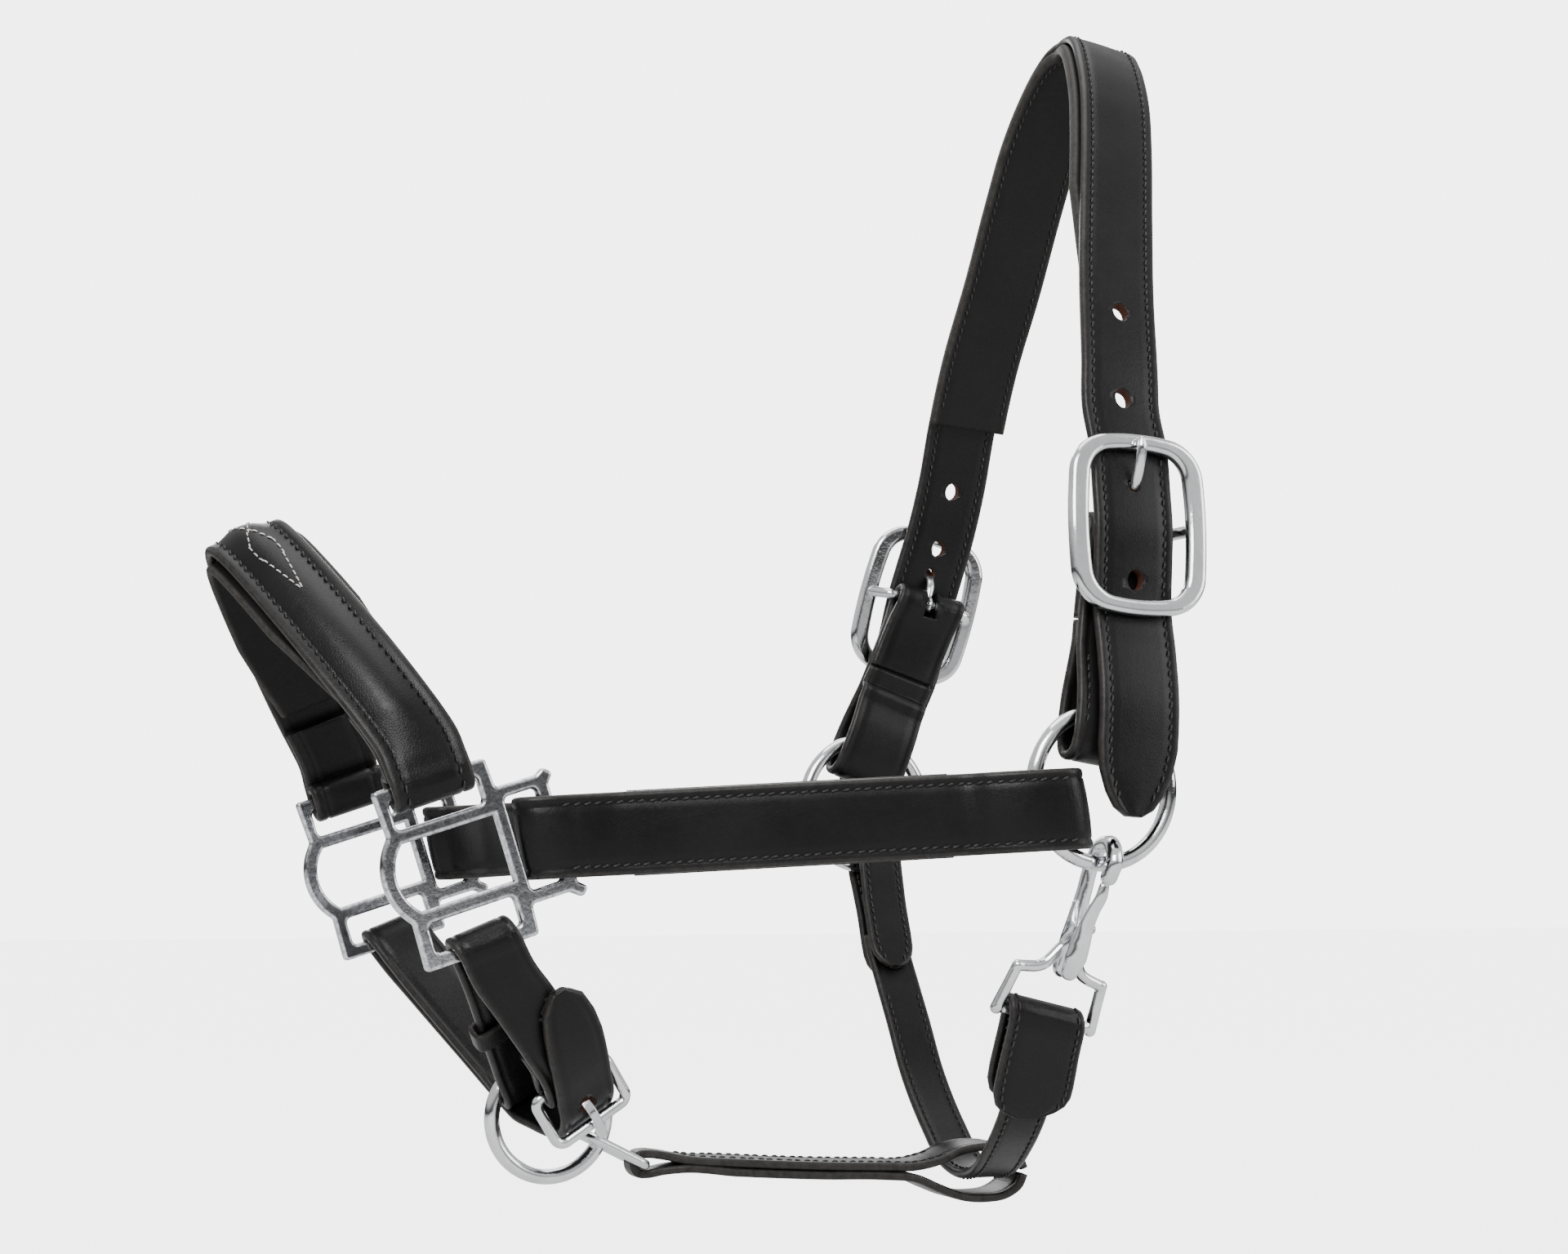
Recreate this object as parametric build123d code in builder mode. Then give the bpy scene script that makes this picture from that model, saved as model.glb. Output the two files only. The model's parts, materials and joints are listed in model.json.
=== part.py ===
"""Leather headcollar with chrome hardware, as separate pieces in one frame.

+Z is up, the nose points to -X and the near (left) side is -Y. The origin lies under the
crown, on the inner face of its lining, where the headcollar hangs. Lengths are millimetres.
"""
from build123d import *
from math import *
import os

# Driving dimensions
LEATHER = 3.2            # outer straps
THIN = 2.8               # folded tabs and doubled straps
CROWN_WIDTH = 28.0
LINING_WIDTH = 31.0
CHEEK_WIDTH = 25.4
NOSE_WIDTH = 25.4
NOSE_BASE_WIDTH = 31.0
CHIN_WIDTH = 20.0
THROAT_WIDTH = 17.0
CONNECTOR_WIDTH = 19.0
PUNCH = 3.1              # radius of the punched billet holes
THROAT_RING = 24.0       # mean radius
THROAT_WIRE = 2.5
LEAD_RING = 19.0
LEAD_WIRE = 2.5
SQUARE_PLATE = 4.0       # thickness of the cast halter squares
SQUARE_TILT = 18.0       # the squares' long direction rises this much to the rear
CROWN_X = 50.3           # crown apex behind the throat rings
CROWN_Z = 271.5          # crown apex above the level of the throat rings' datum
RING_Y = 94.0            # throat rings each side of the middle
RING_Z = 5.5
SQUARE_Y = 57.0          # halter squares each side of the middle

NEAR = -1
FAR = 1

os.makedirs("parts", exist_ok=True)


def at(x, y, z):
    """Position measured from midway between the throat rings, moved to the crown origin."""
    return Vector(x - CROWN_X, y, z - CROWN_Z)


def tilted(angle):
    """Direction in the XZ plane, this many degrees above +X."""
    return Vector(cos(radians(angle)), 0, sin(radians(angle)))


def arc(centre, radius, start, end, steps):
    """Points along a circular arc in a plane, angles in degrees."""
    points = []
    for step in range(steps + 1):
        angle = radians(start + (end - start) * step / steps)
        points.append((centre[0] + radius * cos(angle), centre[1] + radius * sin(angle)))
    return points


def shifted(path, distance):
    """A plane path moved sideways by a distance, to the left of its direction."""
    moved = []
    last = len(path) - 1
    for index, (x, y) in enumerate(path):
        x0, y0 = path[max(index - 1, 0)]
        x1, y1 = path[min(index + 1, last)]
        length = hypot(x1 - x0, y1 - y0)
        moved.append((x - (y1 - y0) / length * distance, y + (x1 - x0) / length * distance))
    return moved


def blend(table, value):
    """Linear look-up in a list of (value, result) pairs."""
    if value <= table[0][0]:
        return table[0][1]
    for (low, first), (high, second) in zip(table, table[1:]):
        if value <= high:
            return first + (second - first) * (value - low) / (high - low)
    return table[-1][1]


def finer(points, acrosses, widths):
    """Stations with one more between each pair, on a smooth curve through them."""
    last = len(points) - 1
    more_points = []
    more_acrosses = []
    more_widths = []
    for index in range(last):
        before = points[max(index - 1, 0)]
        here = points[index]
        there = points[index + 1]
        after = points[min(index + 2, last)]
        halfway = (here + there) * 0.5625 - (before + after) * 0.0625
        more_points += [here, halfway]
        more_acrosses += [acrosses[index], (acrosses[index] + acrosses[index + 1]) * 0.5]
        more_widths += [widths[index], (widths[index] + widths[index + 1]) * 0.5]
    return more_points + points[-1:], more_acrosses + acrosses[-1:], more_widths + widths[-1:]


def ribbon(points, acrosses, widths, thick):
    """Strap lofted through rectangles that stand across a run of points."""
    points, acrosses, widths = finer(points, acrosses, widths)
    last = len(points) - 1
    with BuildPart() as piece:
        for index, point in enumerate(points):
            ahead = points[min(index + 1, last)] - points[max(index - 1, 0)]
            across = acrosses[index].normalized()
            along = (ahead - across * ahead.dot(across)).normalized()
            with BuildSketch(Plane(origin=point, x_dir=across, z_dir=along)):
                Rectangle(widths[index], thick)
        loft(ruled=True)
    return piece.part


def wire_loop(plane, corners, radius, wire):
    """Closed ring of round wire through rounded corners in a plane."""
    with BuildPart() as piece:
        with BuildLine(plane) as path:
            FilletPolyline(*corners, radius=radius, close=True)
        with BuildSketch(Plane(origin=path.line @ 0, z_dir=path.line % 0)):
            Circle(wire)
        sweep(path=path.line)
    return piece.part


# Throat rings and lead ring
def round_ring(centre, mean, wire):
    with BuildPart() as piece:
        with BuildSketch(Plane(origin=centre, x_dir=(1, 0, 0), z_dir=(0, 0, 1))):
            with Locations((mean, 0)):
                Circle(wire)
        revolve(axis=Axis(centre, (0, 1, 0)))
    return piece.part


LEAD_CENTRE = at(-152, 0, -99.7)

near_ring_solid = round_ring(at(0, NEAR * RING_Y, RING_Z), THROAT_RING, THROAT_WIRE)
with BuildPart() as near_throat_ring:
    add(near_ring_solid)

far_ring_solid = round_ring(at(0, FAR * RING_Y, RING_Z), THROAT_RING, THROAT_WIRE)
with BuildPart() as far_throat_ring:
    add(far_ring_solid)

lead_ring_solid = round_ring(LEAD_CENTRE, LEAD_RING, LEAD_WIRE)
with BuildPart() as lead_ring:
    add(lead_ring_solid)


# Halter squares: a cast plate with slots for the noseband, the cheek and the chin strap
SQUARE_BAR = 4.2
NOSE_BAR = 25.75         # bar heights from the middle of the square
CHEEK_BAR = 32.5
ACROSS_SQUARE = tilted(SQUARE_TILT)
UP_SQUARE = tilted(SQUARE_TILT + 90)


def square_solid(side):
    plane = Plane(origin=at(-199, side * SQUARE_Y, -19), x_dir=ACROSS_SQUARE, z_dir=(0, -1, 0))
    with BuildPart() as piece:
        with BuildSketch(plane):
            with BuildLine():
                Polyline((-17.2, 13.5), (-18.0, 27.9), (18.0, 27.9), (18.6, 18.4), (31.6, 18.2),
                         (34.4, 20.0), (37.0, 17.4), (34.8, 14.6), (34.8, -16.6), (37.6, -18.8),
                         (35.2, -21.6), (31.6, -18.8), (19.2, -18.6), (18.6, -27.9),
                         (-17.6, -27.9), (-17.2, -13.0))
                ThreePointArc((-17.2, -13.0), (-22.4, 0.4), (-17.2, 13.5))
            make_face()
            fillet(vertices(), 1.3)
            with Locations((0, 19.25)):
                RectangleRounded(28.0, 8.8, 1.8, mode=Mode.SUBTRACT)
            with Locations((0.5, -19.0)):
                RectangleRounded(27.5, 9.3, 1.8, mode=Mode.SUBTRACT)
            with BuildLine():
                ThreePointArc((-13.6, 10.7), (-18.2, 0.3), (-13.6, -10.2))
                Polyline((-13.6, -10.2), (16.0, -10.2), (16.0, 10.7), (-13.6, 10.7))
            make_face(mode=Mode.SUBTRACT)
            with Locations((25.3, 0)):
                RectangleRounded(10.4, 29.4, 1.6, mode=Mode.SUBTRACT)
        extrude(amount=SQUARE_PLATE / 2, both=True)
        faces_out = piece.faces().filter_by(GeomType.PLANE).sort_by(Axis.Y)
        fillet(faces_out[0].edges() + faces_out[-1].edges(), 0.9)
    return piece.part


near_square_solid = square_solid(NEAR)
with BuildPart() as near_square:
    add(near_square_solid)

far_square_solid = square_solid(FAR)
with BuildPart() as far_square:
    add(far_square_solid)


# Noseband: an arch leaning forward between the squares' top bars
NOSE_LEAN_LOW = 19.0
NOSE_LEAN = 32.9
NOSE_KNEE = 14.0
NOSE_ACROSS = [(14, 19.0), (40, 26.0), (90, 25.0)]
NOSE_FOLD = 4.5

nose_outer = [
    (60.6, 6), (58.6, 12.5), (56.0, 20), (52.6, 28), (48.5, 36), (43.6, 44.5), (37.8, 53.5),
    (31.4, 62.5), (25.0, 71.0), (18.6, 78.8), (12.6, 85.2), (6.4, 89.8), (0, 91.6),
]


def nose_point(side, out, up):
    """Point of the arch: out from the middle, up from the squares' top bars."""
    low = min(up, NOSE_KNEE)
    high = max(up - NOSE_KNEE, 0)
    forward = low * sin(radians(NOSE_LEAN_LOW)) + high * sin(radians(NOSE_LEAN))
    rise = low * cos(radians(NOSE_LEAN_LOW)) + high * cos(radians(NOSE_LEAN))
    return at(-206.9 - forward, side * out, 5.5 + rise)


def nose_ribbon(half, width, thick):
    """Strap over the nose from half a path, near side first."""
    points = [nose_point(NEAR, out, up) for out, up in half]
    points += [nose_point(FAR, out, up) for out, up in reversed(half[:-1])]
    ups = [up for out, up in half] + [up for out, up in reversed(half[:-1])]
    acrosses = [tilted(blend(NOSE_ACROSS, up)) for up in ups]
    return ribbon(points, acrosses, [width] * len(points), thick)


nose_fold = arc((SQUARE_Y, 0), NOSE_FOLD, 180, 360, 6)
nose_turn = list(reversed(shifted(nose_outer[:4], LEATHER + 0.2)))
nose_turn += [(SQUARE_Y - NOSE_FOLD + 0.4, 5.0)]
nose_strap_solid = nose_ribbon(nose_turn + nose_fold + nose_outer, NOSE_WIDTH, LEATHER)
with BuildPart() as noseband_strap:
    add(nose_strap_solid)

nose_pad_path = shifted(nose_outer, LEATHER / 2 + 1.15)[4:-1] + [(0, 91.6 - LEATHER / 2 - 1.15)]
nose_pad_solid = nose_ribbon(nose_pad_path, 20.0, 2.0)
with BuildPart() as noseband_pad:
    add(nose_pad_solid)

nose_base_path = shifted(nose_outer, LEATHER + 2.3)[4:-1] + [(0, 91.6 - LEATHER - 2.3)]
nose_base_solid = nose_ribbon(nose_base_path, NOSE_BASE_WIDTH, LEATHER)
with BuildPart() as noseband_lining:
    add(nose_base_solid)


# Cheekpieces: an outer strap folded round the square's rear bar and the throat ring
CHEEK_FRONT = at(-168.1, 0, -10.6)
CHEEK_REAR = at(-20.5, 0, -2.0)
CHEEK_FOLD = 5.6
CHEEK_REAR_FOLD = 7.25


def cheek_frame(side):
    front = Vector(CHEEK_FRONT.X, side * SQUARE_Y, CHEEK_FRONT.Z)
    rear = Vector(CHEEK_REAR.X, side * RING_Y, CHEEK_REAR.Z)
    along = (rear - front).normalized()
    out = Vector(-along.Y * side, along.X * side, 0).normalized()
    return front, along, out, (rear - front).length


CHEEK_SPAN = cheek_frame(NEAR)[3]
CHEEK_START = -3.6       # centre of the front fold, ahead of the square's rear bar
CHEEK_END = CHEEK_SPAN + 4.9

# (along, outward) path of the outer strap, seen in the cheek's own frame
cheek_front_eye = arc((CHEEK_START, 0), CHEEK_FOLD, 270, 90, 6)
cheek_rear_eye = arc((CHEEK_END, 0), CHEEK_REAR_FOLD, 90, -90, 6)
cheek_outer = [(CHEEK_START + 7, 5.4), (CHEEK_START + 14, 3.4), (CHEEK_START + 21, 1.9)]
cheek_outer += [(CHEEK_START + 30, 1.7), (CHEEK_SPAN / 2, 1.7), (CHEEK_END - 38, 1.7)]
cheek_outer += [(CHEEK_END - 28, 2.1), (CHEEK_END - 22, 4.8), (CHEEK_END - 13, 7.25)]
cheek_front_turn = [(CHEEK_START + 26, -1.7), (CHEEK_START + 21, -1.9)]
cheek_front_turn += [(CHEEK_START + 14, -3.4), (CHEEK_START + 7, -5.4)]
cheek_rear_turn = [(CHEEK_END - 13, -7.25), (CHEEK_END - 22, -4.8)]
cheek_rear_turn += [(CHEEK_END - 28, -2.1), (CHEEK_END - 33, -1.7)]
cheek_path = cheek_front_turn + cheek_front_eye + cheek_outer + cheek_rear_eye + cheek_rear_turn
cheek_inner_path = [(CHEEK_START + 27, -1.75), (CHEEK_START + 45, -1.75), (CHEEK_SPAN / 2, -1.75)]
cheek_inner_path += [(CHEEK_END - 50, -1.75), (CHEEK_END - 34.5, -1.75)]
CHEEK_TILT = [(0, 12.0), (35, 3.2), (110, 3.2), (150, 9.0)]


def cheek_ribbon(side, path, width, thick):
    front, along, out, span = cheek_frame(side)
    points = [front + along * run + out * rise for run, rise in path]
    acrosses = [tilted(90 + blend(CHEEK_TILT, run)) for run, rise in path]
    return ribbon(points, acrosses, [width] * len(points), thick)


near_cheek_outer = cheek_ribbon(NEAR, cheek_path, CHEEK_WIDTH, LEATHER)
with BuildPart() as near_cheek_strap:
    add(near_cheek_outer)

near_cheek_inner = cheek_ribbon(NEAR, cheek_inner_path, CHEEK_WIDTH + 0.8, LEATHER)
with BuildPart() as near_cheek_lining:
    add(near_cheek_inner)

far_cheek_outer = cheek_ribbon(FAR, cheek_path, CHEEK_WIDTH, LEATHER)
with BuildPart() as far_cheek_strap:
    add(far_cheek_outer)

far_cheek_inner = cheek_ribbon(FAR, cheek_inner_path, CHEEK_WIDTH + 0.8, LEATHER)
with BuildPart() as far_cheek_lining:
    add(far_cheek_inner)


# Crown buckles: centre-bar frames, each carried by a chape that comes up from its ring
BUCKLE_HALF_WIDTH = 21.2
BUCKLE_HALF_HEIGHT = 27.0
BUCKLE_RISE = 10.0       # frame in front of its centre bar
BAR_RADIUS = 2.0
BAR_HALF = 16.6          # the bar bends toward the frame here, just outside the chape
BUCKLE_SEAT = {NEAR: (11.5, 88.0, 2.0), FAR: (24.5, 82.0, 14.0)}
BUCKLE_Y = 88.5
STRAP_CLIMB = 5.1        # chapes lean inward by this angle


def buckle_plane(side):
    x, z, lean = BUCKLE_SEAT[side]
    inward = -side * sin(radians(STRAP_CLIMB))
    up = Vector(sin(radians(lean)), inward, cos(radians(lean))).normalized()
    across = Vector(cos(radians(lean)), 0, -sin(radians(lean))) * -side
    return Plane(origin=at(x, side * BUCKLE_Y, z), x_dir=across, z_dir=across.cross(up))


def crown_buckle_solid(side):
    plane = buckle_plane(side)
    front = plane.offset(BUCKLE_RISE)
    wide = BUCKLE_HALF_WIDTH
    high = BUCKLE_HALF_HEIGHT
    # the frame's outer and inner outlines: corners, middles of the bulging sides, corner radius
    rims = [(wide + 1.5, high - 0.7, wide + 3.3, high + 2.6, 14.0, Mode.ADD),
            (wide - 5.0, high - 4.4, wide - 3.3, high - 2.6, 9.0, Mode.SUBTRACT)]
    with BuildPart() as piece:
        for corner_x, corner_y, side_x, side_y, radius, mode in rims:
            with BuildSketch(front) as outline:
                with BuildLine():
                    ThreePointArc((corner_x, -corner_y), (side_x, 0), (corner_x, corner_y))
                    ThreePointArc((corner_x, corner_y), (0, side_y), (-corner_x, corner_y))
                    ThreePointArc((-corner_x, corner_y), (-side_x, 0), (-corner_x, -corner_y))
                    ThreePointArc((-corner_x, -corner_y), (0, -side_y), (corner_x, -corner_y))
                make_face()
                fillet(outline.vertices(), radius)
            extrude(amount=2.2, both=True, mode=mode)
        fillet(piece.edges().filter_by(lambda edge: edge.length > 6), 1.7)
        with BuildLine(Plane(origin=plane.origin, x_dir=plane.x_dir, z_dir=-plane.y_dir)) as bar:
            FilletPolyline((0.6 - wide, BUCKLE_RISE - 0.6), (-BAR_HALF, 0), (BAR_HALF, 0),
                           (wide - 0.6, BUCKLE_RISE - 0.6), radius=2.4)
        with BuildSketch(Plane(origin=bar.line @ 0, z_dir=bar.line % 0)):
            Circle(BAR_RADIUS)
        sweep(path=bar.line)
    return piece.part


near_buckle_solid = crown_buckle_solid(NEAR)
with BuildPart() as near_crown_buckle:
    add(near_buckle_solid)

far_buckle_solid = crown_buckle_solid(FAR)
with BuildPart() as far_crown_buckle:
    add(far_buckle_solid)


TONGUE_WIDTH = 3.4


def tongue_profile_solid(plane, bar_radius, path, thick, width):
    """Buckle tongue: an eye on the bar and a bent prong, in a plane that cuts the bar."""
    with BuildPart() as piece:
        with BuildSketch(plane):
            Circle(bar_radius + 1.5)
            with BuildLine():
                left = shifted(path, thick / 2)
                right = list(reversed(shifted(path, -thick / 2)))
                Spline(*left)
                Line(left[-1], right[0])
                Spline(*right)
                Line(right[-1], left[0])
            make_face()
            Circle(bar_radius + 0.06, mode=Mode.SUBTRACT)
        extrude(amount=width / 2, both=True)
    return piece.part


crown_tongue_path = [(2.8, 0.2), (6.2, 1.0), (9.4, 2.9), (11.6, 5.6), (13.2, 8.4), (16.4, 11.0)]
crown_tongue_path += [(21.0, 12.9), (26.0, 14.2), (29.6, 14.5)]


def crown_tongue_solid(side):
    plane = buckle_plane(side)
    side_on = Plane(origin=plane.origin, x_dir=plane.y_dir, z_dir=plane.x_dir)
    return tongue_profile_solid(side_on, BAR_RADIUS, crown_tongue_path, 3.0, TONGUE_WIDTH)


near_tongue_solid = crown_tongue_solid(NEAR)
with BuildPart() as near_crown_tongue:
    add(near_tongue_solid)

far_tongue_solid = crown_tongue_solid(FAR)
with BuildPart() as far_crown_tongue:
    add(far_tongue_solid)


# Chapes: a folded strap from the throat ring up to the buckle's centre bar
CHAPE_FOLD = 5.2
CHAPE_BASE = 0.5
CHAPE_FOOT = 18.6        # height of the lower fold's centre


def chape_solid(side):
    plane = buckle_plane(side)
    top = plane.origin
    foot = at(CHAPE_BASE, side * (RING_Y + 0.8), CHAPE_FOOT)
    up = (top - foot).normalized()
    long = (top - foot).length
    across = Vector(up.Z, 0, -up.X).normalized() * -side
    out = across.cross(up)
    bar_fold = BAR_RADIUS + 0.3 + LEATHER / 2
    inner = [(long / 2 + 4, -1.7), (long / 2 - 4, -1.7), (30, -1.9), (24, -3.2), (15, -5.2)]
    outer = [(15, 5.2), (24, 3.2), (30, 1.9), (long / 2, 1.7), (long - 16, 1.7)]
    outer += [(long - 10, 2.1)]
    turn = [(long - 10, -2.1), (long - 16, -1.7), (long / 2 + 5, -1.7)]
    path = inner + arc((0, 0), CHAPE_FOLD, 270, 90, 6) + outer
    path += arc((long, 0), bar_fold, 90, -90, 6) + turn
    points = [foot + up * run + out * rise for run, rise in path]
    acrosses = []
    for run, rise in path:
        share = blend([(28, 0.0), (long - 12, 1.0)], run)
        acrosses.append(across * (1 - share) + plane.x_dir * share)
    band = ribbon(points, acrosses, [CROWN_WIDTH - 0.6] * len(points), LEATHER - 0.2)
    with BuildPart() as piece:
        add(band)
        with BuildSketch(Plane(origin=top - plane.y_dir * 5, x_dir=plane.x_dir, z_dir=plane.y_dir)):
            Rectangle(5.0, 14.0)
        extrude(amount=14.0, mode=Mode.SUBTRACT)
    return piece.part


near_chape_solid = chape_solid(NEAR)
with BuildPart() as near_chape:
    add(near_chape_solid)

far_chape_solid = chape_solid(FAR)
with BuildPart() as far_chape:
    add(far_chape_solid)


# Crown: an outer strap whose two ends are the billets, and a wider lining under the poll
BILLET_LOCAL = [(-26, 5.1), (-13, 6.2), (0, 7.4), (13, 6.5), (26, 5.3)]


def billet_points(side):
    plane = buckle_plane(side)
    return [plane.from_local_coords(Vector(0, run, rise)) for run, rise in BILLET_LOCAL]


near_run = [
    at(5.0, -104.6, -4), at(5.2, -104.5, -1.5), at(5.6, -104.4, 3), at(6.3, -104.2, 9.5),
    at(7.5, -103.9, 18), at(8.8, -103.0, 33), at(9.8, -99.8, 48),
]
near_run += billet_points(NEAR)
near_arch = [
    at(11.8, -88.0, 128), at(13.6, -84.4, 142), at(18.8, -73.6, 171), at(27.5, -58.6, 203),
    at(35.5, -45.0, 231), at(40.6, -35.0, 249), at(44.0, -26.2, 261), at(47.4, -16.4, 270.6),
    at(49.6, -8.2, 276.0), at(50.3, 0, 277.9),
]
far_arch = [
    at(49.9, 8.2, 276.0), at(48.8, 16.4, 270.8), at(47.2, 26.2, 261.2), at(45.4, 35.4, 248.6),
    at(43.8, 45.0, 231), at(41.4, 58.5, 203),
    at(38.2, 73.4, 173), at(36.6, 82.4, 150), at(34.6, 87.6, 128),
]
far_run = list(reversed(billet_points(FAR)))
far_run += [at(13.2, 101.2, 40), at(9.6, 103.4, 26), at(6.6, 104.0, 12), at(5.4, 104.2, 5.5)]
far_run += [at(4.8, 104.3, 1), at(4.4, 104.4, -1.5)]

crown_points = near_run + near_arch + far_arch + far_run
crown_widths = [6, 14, 20, 25.4] + [CROWN_WIDTH] * (len(crown_points) - 8) + [25.4, 20, 14, 6]
crown_acrosses = []
for index, point in enumerate(crown_points):
    behind = crown_points[max(index - 1, 0)]
    beyond = crown_points[min(index + 1, len(crown_points) - 1)]
    run = beyond - behind
    level = Vector(run.Z, 0, -run.X)
    if level.X < 0:
        level = level * -1.0
    steep = abs(run.Z) / run.length
    flat = Vector(1, 0.03, -0.02)
    crown_acrosses.append((level.normalized() * steep + flat * (1 - steep)).normalized())

crown_points, crown_acrosses, crown_widths = finer(crown_points, crown_acrosses, crown_widths)
crown_band = ribbon(crown_points, crown_acrosses, crown_widths, LEATHER)


def punch(side, station, radius):
    """Cutter for one billet hole, its station measured up the strap from the centre bar."""
    plane = buckle_plane(side)
    centre = plane.from_local_coords(Vector(0, station[0], station[1]))
    with BuildPart() as piece:
        with BuildSketch(Plane(origin=centre, x_dir=plane.x_dir, z_dir=station[2])):
            Circle(radius)
        extrude(amount=6, both=True)
    return piece.part


def strap_hole(index, share, radius):
    """Cutter for a hole part way between two of the crown's stations."""
    first = crown_points[index]
    second = crown_points[index + 1]
    run = (second - first).normalized()
    across = crown_acrosses[index]
    centre = first + (second - first) * share
    with BuildPart() as piece:
        with BuildSketch(Plane(origin=centre, x_dir=across, z_dir=across.cross(run))):
            Circle(radius)
        extrude(amount=6, both=True)
    return piece.part


near_tongue_hole = punch(NEAR, (11.9, 6.2, buckle_plane(NEAR).z_dir), PUNCH + 0.3)
near_low_hole = punch(NEAR, (-17.0, 5.4, buckle_plane(NEAR).z_dir), PUNCH)
far_tongue_hole = punch(FAR, (11.9, 6.2, buckle_plane(FAR).z_dir), PUNCH + 0.3)
near_mid_hole = strap_hole(24, 0.44, PUNCH)
near_top_hole = strap_hole(27, 0.36, PUNCH)
far_top_hole = strap_hole(60, 0.12, PUNCH)
far_mid_hole = strap_hole(62, 0.46, PUNCH)

with BuildPart() as crown_strap:
    add(crown_band)
    for cutter in (near_tongue_hole, near_low_hole, far_tongue_hole):
        add(cutter, mode=Mode.SUBTRACT)
    for cutter in (near_mid_hole, near_top_hole, far_top_hole, far_mid_hole):
        add(cutter, mode=Mode.SUBTRACT)

# the lining lies inside the outer strap, from above the near holes to above the far ones
LINING_THICK = 4.4
lining_points = []
lining_acrosses = []
for index in range(28, 59):
    run = (crown_points[index + 1] - crown_points[index - 1]).normalized()
    across = crown_acrosses[index]
    inward = across.cross(run).normalized()
    if inward.dot(at(30, 0, 120) - crown_points[index]) < 0:
        inward = inward * -1.0
    lining_points.append(crown_points[index] + inward * (LEATHER / 2 + 0.45 + LINING_THICK / 2))
    lining_acrosses.append(across)
crown_lining_solid = ribbon(lining_points, lining_acrosses, [LINING_WIDTH] * 31, LINING_THICK)
with BuildPart() as crown_lining:
    add(crown_lining_solid)


# Snap hook on the near ring: its long axis hangs toward the throat strap
RING_FOOT = at(0, NEAR * RING_Y, RING_Z - THROAT_RING)
SNAP_ACROSS = Vector(0.972, 0.02, -0.233).normalized()
SNAP_UP = Vector(0.226, -0.339, 0.913)
SNAP_UP = (SNAP_UP - SNAP_ACROSS * SNAP_UP.dot(SNAP_ACROSS)).normalized()
SNAP_OUT = SNAP_ACROSS.cross(SNAP_UP).normalized()
snap_front = Plane(origin=RING_FOOT, x_dir=SNAP_ACROSS, z_dir=SNAP_OUT)
snap_side = Plane(origin=RING_FOOT, x_dir=SNAP_OUT, z_dir=SNAP_OUT.cross(SNAP_UP))
SNAP_EYE = -53.0         # bar of the square eye below the ring's wire
PIVOT = (1.5, -21.0)     # gate pivot, outward and up from the ring's wire

with BuildPart() as snap_hook:
    with BuildLine(snap_side) as hook_line:
        Spline((6.6, -2.2), (6.2, 3.2), (0.4, 6.9), (-5.6, 3.8), (-6.4, -3.0), (-4.6, -12.0),
               (-3.4, -20.0), (-2.2, -28.0), (-0.8, -37.0))
    with BuildSketch(Plane(origin=hook_line.line @ 0, z_dir=hook_line.line % 0)):
        Circle(2.3)
    sweep(path=hook_line.line)
    with BuildSketch(snap_side):
        with Locations((-0.4, -22.0)):
            SlotOverall(15.0, 7.4, rotation=90)
    extrude(amount=4.2, both=True)
    with BuildSketch(snap_side):
        with Locations((3.6, -22.0)):
            Rectangle(11.0, 26.0)
    extrude(amount=2.3, both=True, mode=Mode.SUBTRACT)
    with BuildSketch(snap_side):
        with Locations(PIVOT):
            Circle(1.3)
    extrude(amount=5, both=True, mode=Mode.SUBTRACT)
    with BuildSketch(snap_front):
        with BuildLine():
            Polyline((-4.2, -25), (4.2, -25), (6.5, -33), (3.6, -40), (-3.6, -40), (-6.5, -33),
                     close=True)
        make_face()
    extrude(amount=-3.4)
    with BuildLine(snap_front) as eye_line:
        FilletPolyline((15.6, -38.5), (17.2, SNAP_EYE), (-17.2, SNAP_EYE), (-15.6, -38.5),
                       radius=2.6, close=True)
    with BuildSketch(Plane(origin=eye_line.line @ 0, z_dir=eye_line.line % 0)):
        Circle(1.9)
    sweep(path=eye_line.line)

# the gate: an upper arm that closes the hook's mouth and a thumb tab below the pivot
with BuildPart() as snap_gate:
    with BuildSketch(snap_side):
        with BuildLine():
            Polyline((5.4, -5.0), (7.8, -5.2), (7.4, -12), (4.6, -18.4), (4.6, -23.0), (6.8, -34.0),
                     (4.4, -35.6), (0.6, -25.0), (-0.6, -20.6), (1.4, -17.4), (4.4, -11.0),
                     close=True)
        make_face()
        with Locations(PIVOT):
            Circle(1.35, mode=Mode.SUBTRACT)
    extrude(amount=1.9, both=True)
    with BuildSketch(snap_side):
        with BuildLine():
            Polyline((5.2, -30.2), (7.0, -34.6), (4.6, -36.4), (2.8, -30.2), close=True)
        make_face()
    extrude(amount=3.9, both=True)

with BuildPart() as snap_pin:
    with BuildSketch(snap_side):
        with Locations(PIVOT):
            Circle(1.28)
    extrude(amount=4.6, both=True)


# Throat strap with a folded end tab on each side
EYE_CENTRE = snap_front.from_local_coords(Vector(0, SNAP_EYE, 0))
TAB_FOLD = 1.9 + 0.5 + THIN / 2

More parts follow.
